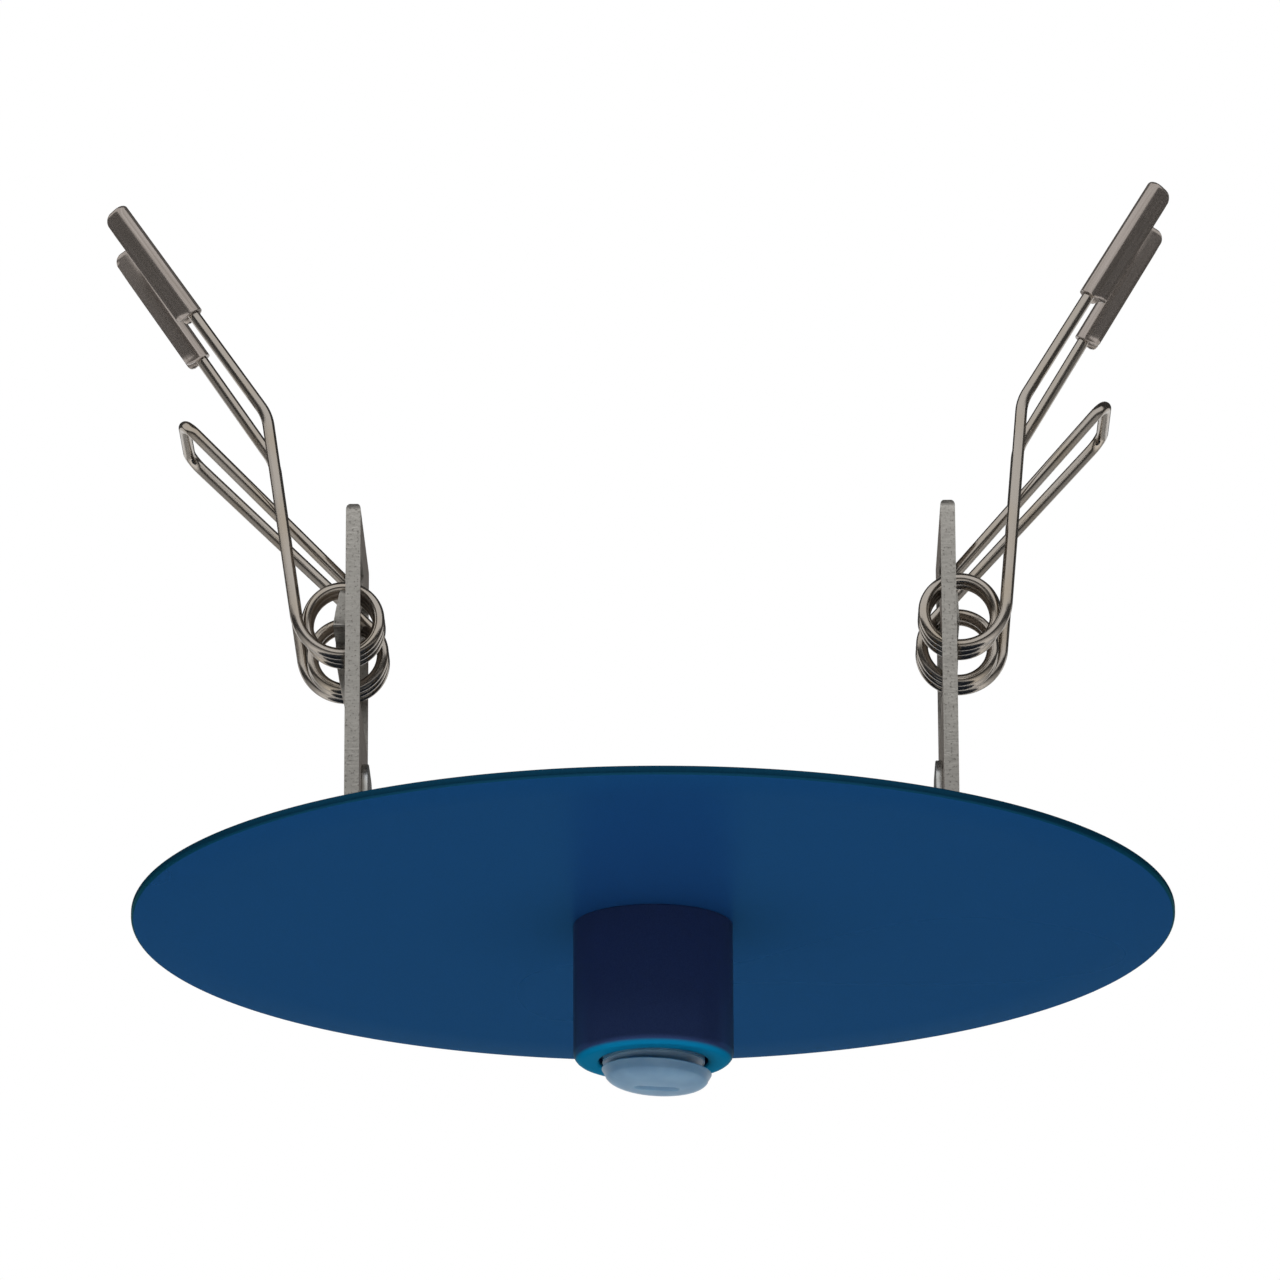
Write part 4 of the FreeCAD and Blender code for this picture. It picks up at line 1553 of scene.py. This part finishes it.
    def build_rivets(self) -> None:
        """Makes the two rivets, domed outside and flat inside."""
        low, out = -self.strap_thick - self.rivet_high, self.thick
        high = out + self.rivet_high
        line = profile((AXIS, low, 0), (self.rivet_head, low, 0.25), (self.rivet_head, 0, 0.1),
                       (self.rivet_hole, 0, 0), (self.rivet_hole, out, 0),
                       (self.rivet_head, out, 0.1), (self.rivet_head, high, 0.55),
                       (self.rivet_hole * 0.9, high, 0.1), (AXIS, high - 0.12, 0))
        shape = Shape()
        for spread in (-1, 1):
            turn = Matrix.Rotation(math.pi / 2, 4, "Y")
            place = Matrix.Translation((self.inner, spread * self.rivet_spread / 2,
                                        self.rivet_height))
            shape.merged(turned(lambda angle: line, 48).moved(place @ turn))
        make_piece(self.side.value + "_bracket_rivets_set", shape.moved(self.side.half_turn),
                   [RIVET_ZINC], "root", [self.side.value + "_bracket_rivets"], Trim(sharp=30.0))


# ---------------------------------------------------------------- springs

@dataclass
class SpringSet:
    """One spring: two coils joined by a loop, and two arms that end in folded sleeves.

    Sizes are in millimetres and angles in degrees. Depths are measured out along Y from the
    spring's own middle.

    Attributes:
        side: the spring's side.
        wire: the wire's radius.
        coil_radius: from the coils' axis to the wire's middle.
        axis_x: where the coils' axis lies.
        axis_z: its height.
        outer: the depth of the arm's foot.
        pitch: how far the coil comes in with each turn.
        whole_turns: how many whole turns the coil has.
        widening: how much wider the arc is by which the arm comes into the coil.
        play: how far the whole spring has slid along its horns.
        arm_lean: the lower arm's lean outward.
        arm_lower: the arm's length up to its bend.
        arm_bend: the bend's radius.
        bend_inset: how far the bend lies in from the foot.
        upper_angle: the upper arm's lean outward.
        arm_upper: its length.
        tip_inset: how far the tip lies in from the foot.
        loop_lean: the loop's lean outward.
        loop_length: the length of its bars.
        loop_outer: half the distance between the bars at the crossbar.
        loop_corner: the radius of its corners.
        corner_flat: how far the bending tool flattened them.
        corner_spread: how far from a corner's middle its flat may reach.
        swing: the turn over which the coil runs out into the bar.
        arm_end: how far the wire ends short of the arm's tip.
        run: the longest straight step along a wire.
        wound_from: the depth from which the coil winds up with the arm.
        wound_to: the depth from which it moves with the arm; it is not used.
    """

    side: Side
    wire: float = 0.7
    coil_radius: float = 4.15
    axis_x: float = 35.65
    axis_z: float = 33.8
    outer: float = 8.9
    pitch: float = 1.72
    whole_turns: float = 2.0
    widening: float = 1.2
    play: float = 0.9
    arm_lean: float = 5.1
    arm_lower: float = 24.9
    arm_bend: float = 5.5
    bend_inset: float = 0.35
    upper_angle: float = 31.2
    arm_upper: float = 31.3
    tip_inset: float = 1.8
    loop_lean: float = 41.4
    loop_length: float = 31.0
    loop_outer: float = 6.5
    loop_corner: float = 2.0
    corner_flat: float = 0.22
    corner_spread: float = 4.0
    swing: float = 30.0
    arm_end: float = 0.9
    run: float = 1.5
    wound_from: float = 5.13
    wound_to: float = 7.8

    @property
    def rest(self) -> float:
        """How far outward the spring leans from its stop, in degrees."""
        return 3.2 if self.side is Side.LEFT else 0.0

    @property
    def entry_turn(self) -> float:
        """Degrees from the arm's foot to the coil's lowest point."""
        return 90 - self.arm_lean

    @property
    def coil_turn(self) -> float:
        """Degrees from the coil's lowest outer point to where the loop leaves."""
        return 360 * self.whole_turns + 90 + self.loop_lean

    def matrix(self) -> Matrix:
        """Where the spring stands on its side.

        Returns:
            The move from the upright right-hand spring.
        """
        axis = Vector((self.axis_x, 0, self.axis_z))
        lean = Matrix.Rotation(math.radians(self.rest), 4, "Y")
        return (self.side.half_turn @ Matrix.Translation(axis) @ lean
                @ Matrix.Translation(-axis))

    def coil_depth(self, angle: float) -> float:
        """How far out the evenly wound coil lies at an angle."""
        return self.outer - self.pitch * (self.entry_turn + angle) / 360

    def coil_point(self, half: int, angle: float) -> Vector:
        """A point of the coil, which turns into the loop's slope over its last part.

        Args:
            half: -1 or 1, for the half of the spring.
            angle: degrees on from the coil's lowest outer point.

        Returns:
            The point.
        """
        run = math.radians(max(0.0, angle - self.coil_turn + self.swing)) * self.coil_radius
        slope = self.pitch / (TURN * self.coil_radius)
        slope += (self.loop_outer - self.coil_depth(self.coil_turn)) / self.loop_length
        depth = self.coil_depth(angle)
        depth += slope * run ** 2 / (2 * math.radians(self.swing) * self.coil_radius)
        turn = math.radians(-90 - angle)
        return Vector((self.axis_x + self.coil_radius * math.cos(turn), half * depth - self.play,
                       self.axis_z + self.coil_radius * math.sin(turn)))

    def entry_point(self, half: int, angle: float) -> Vector:
        """A point of the wider arc by which the arm comes into the coil.

        Args:
            half: -1 or 1, for the half of the spring.
            angle: degrees on from the arm's foot.

        Returns:
            The point.
        """
        radius = self.coil_radius + self.widening
        turn = math.radians(-self.arm_lean - angle)
        depth = self.outer - self.pitch * angle / 360
        return Vector((self.axis_x + radius * math.cos(turn), half * depth - self.play,
                       self.axis_z + self.widening + radius * math.sin(turn)))

    def sleeve_roll(self, near: bool) -> float:
        """How far a sleeve was crimped turned on its wire, in degrees; no two are alike."""
        if self.side is Side.RIGHT:
            return 35.0 if near else 10.0
        return -25.0 if near else -8.0

    @staticmethod
    def leaning(degrees: float) -> Vector:
        """A unit vector that leans outward from upright."""
        return Vector((math.sin(math.radians(degrees)), 0, math.cos(math.radians(degrees))))

    def arm_points(self, half: int) -> tuple[Vector, Vector, Vector]:
        """The arm's line.

        Args:
            half: -1 or 1, for the half of the spring.

        Returns:
            Its tip, its bend's corner and its foot.
        """
        foot = self.entry_point(half, 0)
        corner = foot + self.leaning(self.arm_lean) * self.arm_lower
        corner.y = half * (self.outer - self.bend_inset) - self.play
        tip = corner + self.leaning(self.upper_angle) * self.arm_upper
        tip.y = half * (self.outer - self.tip_inset) - self.play
        return tip, corner, foot

    def build(self) -> None:
        """Makes the loop, and the coil, arm and sleeve of each half."""
        place = self.matrix()
        loop = self.make_loop()
        make_piece(self.side.value + "_spring_loop_bent", loop.moved(place), [WIRE],
                   self.side.value + "_spring", [self.side.value + "_spring_loop"])
        for half in (-1, 1):
            near = (half < 0) == (self.side is Side.RIGHT)
            reach = (Reach.NEAR if near else Reach.FAR).value
            body = "%s_%s_arm" % (self.side.value, reach)
            make_piece(body + "_wire", self.make_arm(half).moved(place), [WIRE], body, [body])
            self.make_coil(half, "%s_%s" % (self.side.value, reach), place)
            sleeve = FoldedSleeve(self.arm_points(half), self.wire, self.sleeve_roll(near))
            sleeve.build("%s_%s_sleeve" % (self.side.value, reach), body, place)

    def make_arm(self, half: int) -> Shape:
        """One arm from its tip to the coil's first quarter turn.

        Args:
            half: -1 or 1, for the half of the spring.

        Returns:
            The arm.
        """
        tip, corner, foot = self.arm_points(half)
        upward = (tip - corner).normalized()
        path = round_corners([tip - upward * self.arm_end, corner, foot],
                             [0, self.arm_bend, 0], 14)
        path = filled_in(path, self.run)
        entry = [self.entry_point(half, self.entry_turn * step / 18) for step in range(1, 19)]
        coil = [self.coil_point(half, 5.0 * step) for step in range(1, 18)]
        return swept(path + entry + coil + self.joint(half, 90.0), self.wire)

    def joint(self, half: int, angle: float) -> list[Vector]:
        """Two points close together, so that wires that meet there have one slope."""
        return [self.coil_point(half, angle - 0.3), self.coil_point(half, angle + 0.3)]

    def make_coil(self, half: int, label: str, place: Matrix) -> None:
        """Makes a half's coil between arm and loop, on no body; on the real spring it winds up as the
        arm is squeezed.

        Args:
            half: -1 or 1, for the half of the spring.
            label: how the piece's name starts.
            place: where the spring stands.
        """
        last = self.inner_end()
        count = round((last - 90) / 5)
        steps = [90 + (last - 90) * step / count for step in range(1, count)]
        path = self.joint(half, 90.0) + [self.coil_point(half, step) for step in steps]
        shape = swept(path + self.joint(half, last), self.wire).moved(place)
        coil = make_piece(label + "_coil_wound", shape, [WIRE], None)
        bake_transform(coil)

    def inner_end(self) -> float:
        """The angle from which the coil no longer winds up with the arm."""
        return (self.outer - self.wound_from) / self.pitch * 360 - self.entry_turn

    def make_loop(self) -> Shape:
        """The loop: each coil's last part, the two bars and the crossbar with its flats.

        Returns:
            The loop.
        """
        halves = []
        for half in (-1, 1):
            start = self.coil_point(half, self.coil_turn)
            end = start + self.leaning(self.loop_lean) * self.loop_length
            end.y = half * self.loop_outer - self.play
            first = self.inner_end()
            count = math.ceil((self.coil_turn - first) / 5)
            coil = self.joint(half, first)
            coil += [self.coil_point(half, first + (self.coil_turn - first) * step / count)
                     for step in range(1, count)]
            halves.append((coil, start, end))
        (coil, start, end), (far_coil, far_start, far_end) = halves
        bars = round_corners([start, end, far_end, far_start],
                             [0, self.loop_corner, self.loop_corner, 0], 12)
        path = coil + filled_in(bars, self.run) + list(reversed(far_coil))
        shape = swept(path, self.wire)
        for corner, other in ((end, far_end), (far_end, end)):
            out = ((corner - start).normalized() + (corner - other).normalized()).normalized()
            apex = corner - out * self.loop_corner * (math.sqrt(2) - 1)
            self.flatten(shape, apex, out)
        return shape

    def flatten(self, shape: Shape, apex: Vector, out: Vector) -> None:
        """Flattens a bend's outer side, as the bending tool does.

        Args:
            shape: the loop.
            apex: the middle of the bend.
            out: which way the bend points.
        """
        limit = self.wire - self.corner_flat
        for number, point in enumerate(shape.points):
            beyond = (point - apex).dot(out) - limit
            if beyond > 0 and (point - apex).length < self.corner_spread:
                shape.points[number] = point - out * beyond * 0.8


@dataclass
class FoldedSleeve:
    """A strip folded round an arm's end, with a rounded back, open flanks and a closed tip.

    Attributes:
        arm: the arm's tip, its bend's corner and its foot.
        wire: the wire's radius.
        roll: how far the sleeve is turned on the wire, in degrees.
        length: its length.
        overhang: how far it reaches past the arm's tip.
        wall: the sheet's thickness.
        flank: how far the flanks reach from the wire's middle.
        clearance: the room round the wire.
        lid: the height of the closed tip.
        tip_round: the rounding of the tip's back.
        tip_corner: the radius of the flanks' upper corners.
        foot_corner: the radius of their lower ones.
        lip: how far the flanks' edges curl out at the foot.
        lip_length: the height of that curl.
    """

    arm: tuple[Vector, Vector, Vector]
    wire: float
    roll: float
    length: float = 16.3
    overhang: float = 0.4
    wall: float = 0.4
    flank: float = 1.8
    clearance: float = 0.02
    lid: float = 1.2
    tip_round: float = 0.45
    tip_corner: float = 1.5
    foot_corner: float = 0.6
    lip: float = 0.3
    lip_length: float = 0.9

    def build(self, name: str, body: str, place: Matrix) -> None:
        """Makes the sleeve on its arm.

        Args:
            name: the CAD node's name.
            body: the body that it rides on.
            place: where the spring stands.
        """
        tip, corner, _ = self.arm
        along = (tip - corner).normalized()
        across = Vector((along.z, 0, -along.x)).normalized()
        aside = along.cross(across)
        foot = tip + along * (self.overhang - self.length)
        frame_here = Matrix((across, aside, along)).transposed().to_4x4()
        roll = Matrix.Rotation(math.radians(self.roll), 4, "Z")
        shape = self.fold().moved(place @ Matrix.Translation(foot) @ frame_here @ roll)
        make_piece(name + "_folded", shape, [SLEEVE_SHEET], body, [name],
                   Trim(bevel=0.07, sharp=40.0))

    def section(self, radius: float, height: float, shrink: float = 0.0) -> list[Vector]:
        """A U at a height, from one flank's edge round the back to the other's.

        Args:
            radius: the back's radius.
            height: how far up the sleeve.
            shrink: how far the closed tip has drawn in there.

        Returns:
            The U's points; the flanks have rounded corners and curl out at the sleeve's foot.
        """
        reach = self.flank - drawn_in(height - self.length, self.tip_corner)
        reach -= drawn_in(-height, self.foot_corner)
        curl = self.lip * max(0.0, 1 - height / self.lip_length) ** 2
        around = radius - shrink
        line = [Vector((reach * share, -around - curl * share, height))
                for share in (1.0, 0.75, 0.5, 0.25)]
        line += [Vector((-around * math.sin(math.pi * step / 16),
                         -around * math.cos(math.pi * step / 16), height)) for step in range(17)]
        return line + [Vector((reach * share, around + curl * share, height))
                       for share in (0.25, 0.5, 0.75, 1.0)]

    def fold(self) -> Shape:
        """The sleeve as it stands on end, tip up, its back towards -X.

        Returns:
            The sleeve.
        """
        inner = self.wire + self.clearance
        outer = inner + self.wall
        lid = self.length - self.lid
        heights = [0.0, 0.15, 0.3, 0.6, 0.9, 1.5] + [2.2 + (lid - 2.2) * step / 8
                                                     for step in range(9)]
        outside = [self.section(outer, height) for height in heights]
        inside = [self.section(inner, height) for height in heights]
        for step in range(1, 13):
            height = lid + self.lid * math.sin(math.pi / 2 * step / 12)
            outside.append(self.section(outer, height,
                                        drawn_in(height - self.length, self.tip_round)))
        width, rows = len(outside[0]), len(heights)
        shape = Shape().grid([list(reversed(row)) for row in outside]).grid(inside)
        base = len(outside) * width

        def out(row: int, column: int) -> int:
            """An outer point's number."""
            return row * width + width - 1 - column

        def into(row: int, column: int) -> int:
            """An inner point's number."""
            return base + row * width + column

        for column in range(width - 1):
            shape.cap((out(0, column), out(0, column + 1), into(0, column + 1), into(0, column)))
        for row in range(rows - 1):
            shape.cap((out(row, 0), into(row, 0), into(row + 1, 0), out(row + 1, 0)))
            last = width - 1
            shape.cap((out(row + 1, last), into(row + 1, last), into(row, last), out(row, last)))
        shape.cap([into(rows - 1, column) for column in range(width)])
        shape.cap([out(len(outside) - 1, column) for column in range(width - 1, -1, -1)])
        shape.cap((out(rows - 1, 0), into(rows - 1, 0), into(rows - 1, width - 1),
                   out(rows - 1, width - 1)))
        for row in range(rows - 1, len(outside) - 1):
            shape.cap((out(row, 0), out(row, width - 1), out(row + 1, width - 1),
                       out(row + 1, 0)))
        return shape


# ---------------------------------------------------------------- scene

@dataclass
class Studio:
    """Camera, lights, pale floor and dark drapes round the object.

    Attributes:
        distance: from the plate's middle to the camera, in millimetres.
        below: how far below the plate the camera stands, in degrees.
        aside: how far it stands to the right, in degrees.
        pan: its turn to the side from there, in radians.
        tilt: its tilt up from there, in radians.
        roll: its roll, in degrees.
        lens: its focal length, in millimetres.
        aim: the height of the plate's middle, in millimetres.
        floor_drop: how far down the floor lies, in metres.
        drape_radius: how far away the drapes hang, in millimetres.
        drape_level: how bright the dark drapes are.
        skirt_level: how bright the pale skirt behind the object is.
        skirt_from: how far round the skirt begins, in degrees from straight in front.
    """

    distance: float = 997.2
    below: float = 15.922
    aside: float = 0.45
    pan: float = 0.00136
    tilt: float = 0.03299
    roll: float = 0.248
    lens: float = 243.57
    aim: float = -1.0
    floor_drop: float = 0.46
    drape_radius: float = 2600.0
    drape_level: float = 0.065
    skirt_level: float = 0.9
    skirt_from: float = 110.0

    def build(self) -> None:
        """Makes the camera, the lights and the stage."""
        scene = bpy.context.scene
        scene.view_settings.view_transform = "Standard"
        self.make_camera()
        self.make_world()
        self.make_floor()
        self.make_drapes()
        self.lamp("front_softbox", (-0.4, -1.5, 0.9), (1.4, 0.9), 7.0)
        self.lamp("top_softbox", (0.0, 0.0, 1.4), (1.2, 1.2), 14.0)
        self.lamp("floor_softbox", (0.0, 0.0, -0.1), (1.2, 1.2), 6.0, -1.0)

    def make_camera(self) -> None:
        """Stands the camera in front of and below the plate, looking up at it."""
        data = bpy.data.cameras.new("camera")
        data.lens, data.sensor_width, data.clip_start, data.clip_end = self.lens, 36.0, 0.05, 20.0
        data.dof.use_dof = False
        low, side = math.radians(self.below), math.radians(self.aside)
        away = Vector((math.cos(low) * math.sin(side), -math.cos(low) * math.cos(side),
                       -math.sin(low)))
        forward = -away
        right = forward.cross(Vector((0, 0, 1))).normalized()
        up = right.cross(forward)
        panned = Matrix.Rotation(self.pan, 3, up)
        forward, right = panned @ forward, panned @ right
        tilted = Matrix.Rotation(self.tilt, 3, right)
        forward, up = tilted @ forward, tilted @ up
        rolled = Matrix.Rotation(math.radians(self.roll), 3, forward)
        right, up = rolled @ right, rolled @ up
        camera = bpy.data.objects.new("camera", data)
        turn = Matrix((right, up, -forward)).transposed().to_4x4()
        place = Vector((0, 0, self.aim)) + away * self.distance
        camera.matrix_world = Matrix.Translation(place * MM) @ turn
        bpy.context.scene.collection.objects.link(camera)
        bpy.context.scene.camera = camera

    def make_world(self) -> None:
        """White where it is seen straight or in metal and glass, a plain grey as light."""
        world = bpy.data.worlds.new("studio_white")
        bpy.context.scene.world = world
        world.use_nodes = True
        tree = world.node_tree
        tree.nodes.clear()
        path = add_node(tree, "LightPath", {}).outputs
        seen = path["Is Camera Ray"]
        for ray in ("Is Glossy Ray", "Is Transmission Ray"):
            seen = add_node(tree, "Math", {0: seen, 1: path[ray]}, operation="MAXIMUM")
        level = add_node(tree, "MapRange", {"Value": seen, "To Min": 0.25, "To Max": 1.0})
        back = add_node(tree, "Background", {"Color": (1.0, 1.0, 1.0, 1.0), "Strength": level})
        add_node(tree, "OutputWorld", {"Surface": back})

    @staticmethod
    def set_piece(name: str, points: Sequence[Vector],
                  faces: Sequence[Sequence[int]]) -> bpy.types.Object:
        """Makes a part of the set, which is no part of the object.

        Args:
            name: its name.
            points: its corners, in millimetres.
            faces: each face's corners by number.

        Returns:
            The part.
        """
        mesh = bpy.data.meshes.new(name)
        mesh.from_pydata([tuple(point * MM) for point in points], [], faces)
        made = bpy.data.objects.new(name, mesh)
        bpy.context.scene.collection.objects.link(made)
        return made

    def make_floor(self) -> None:
        """A plain pale floor some way below, which isn't seen from underneath."""
        points = [Vector((x, y, -self.floor_drop / MM)) for x, y in
                  ((-4000, -4000), (4000, -4000), (4000, 4000), (-4000, 4000))]
        floor = self.set_piece("floor", points, [(0, 1, 2, 3)])
        material = bpy.data.materials.new("pale_floor_matt_paint")
        material.use_nodes = True
        tree, shader = material.node_tree, principled(material)
        fill(tree, shader, {"Base Color": linear("#E4E3E1"), "Roughness": 0.9})
        under = add_node(tree, "NewGeometry", {}).outputs["Backfacing"]
        clear = add_node(tree, "BsdfTransparent", {})
        out = next(node for node in tree.nodes if node.type == "OUTPUT_MATERIAL")
        fill(tree, out, {"Surface": add_node(tree, "MixShader", {0: under, 1: shader,
                                                                 2: clear})})
        floor.data.materials.append(material)

    def make_drapes(self) -> None:
        """Dark cloth round the set with an opening high in front, seen only in shiny surfaces.

        The white room shows through the opening, which reaches further round on the left.
        """
        sides = 72
        turns = [step * 360.0 / sides - 180.0 for step in range(sides)]
        rises = [-14.0, -8.0, 0.0, 6.0, 11.0, 18.0, 30.0, 42.0, 54.0, 64.0, 75.0, 89.0]
        rows = [[self.on_dome(turn, rise) for turn in turns] for rise in rises]
        shape = Shape().grid(rows, closed_round=True)
        low, high = rises.index(11.0), rises.index(64.0)
        first, last = turns.index(-75.0), turns.index(100.0)
        kept = [number for number in range(len(shape.faces))
                if not (low <= number // sides < high and first <= number % sides < last)]
        drapes = self.set_piece("drapes", shape.points, [shape.faces[number] for number in kept])
        for name, level in (("dark_drapes_cloth", self.drape_level),
                            ("pale_skirt_cloth", self.skirt_level)):
            material = bpy.data.materials.new(name)
            material.use_nodes = True
            tree = material.node_tree
            tree.nodes.clear()
            glow = add_node(tree, "Emission", {"Color": (level, level, level, 1.0)})
            add_node(tree, "OutputMaterial", {"Surface": glow})
            drapes.data.materials.append(material)
        for face, number in zip(drapes.data.polygons, kept):
            behind = abs(turns[number % sides] + 180.0 / sides) > self.skirt_from
            face.material_index = int(behind and number // sides < low)
        for ray in ("camera", "diffuse", "transmission", "volume_scatter", "shadow"):
            setattr(drapes, "visible_" + ray, False)

    def on_dome(self, turn: float, rise: float) -> Vector:
        """A point of the drapes: degrees to the left of straight in front, and degrees up."""
        around, up = math.radians(turn), math.radians(rise)
        return Vector((-math.sin(around) * math.cos(up), -math.cos(around) * math.cos(up),
                       math.sin(up))) * self.drape_radius

    @staticmethod
    def lamp(name: str, place: tuple[float, float, float], spans: tuple[float, float],
             watts: float, facing: float = 1.0) -> None:
        """Hangs a soft area lamp that isn't seen in the object.

        Args:
            name: the lamp's name.
            place: where it hangs, in metres.
            spans: its width and height, in metres.
            watts: its power.
            facing: 1 to face the object, -1 to face away from it.
        """
        data = bpy.data.lights.new(name, "AREA")
        data.shape = "RECTANGLE"
        data.size, data.size_y = spans
        data.energy = watts
        lamp = bpy.data.objects.new(name, data)
        lamp.location = place
        lamp.rotation_euler = (Vector(place) * -facing).to_track_quat("-Z", "Y").to_euler()
        lamp.visible_camera = lamp.visible_glossy = False
        bpy.context.scene.collection.objects.link(lamp)


def main() -> None:
    """Builds the set and the object in order."""
    logging.basicConfig(level=logging.INFO, format="%(message)s")
    Studio().build()
    CoverPlate().build()
    OutletHub().build()
    HubFixing().build()
    MountingStrap().build()
    StudFixings().build()
    for side in Side:
        SpringBracket(side).build()
        SpringSet(side).build()
    for name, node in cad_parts.items():
        if not node.hide_render:
            LOG.warning("%s is still shown as its CAD solid", name)


if __name__ == "__main__":
    main()
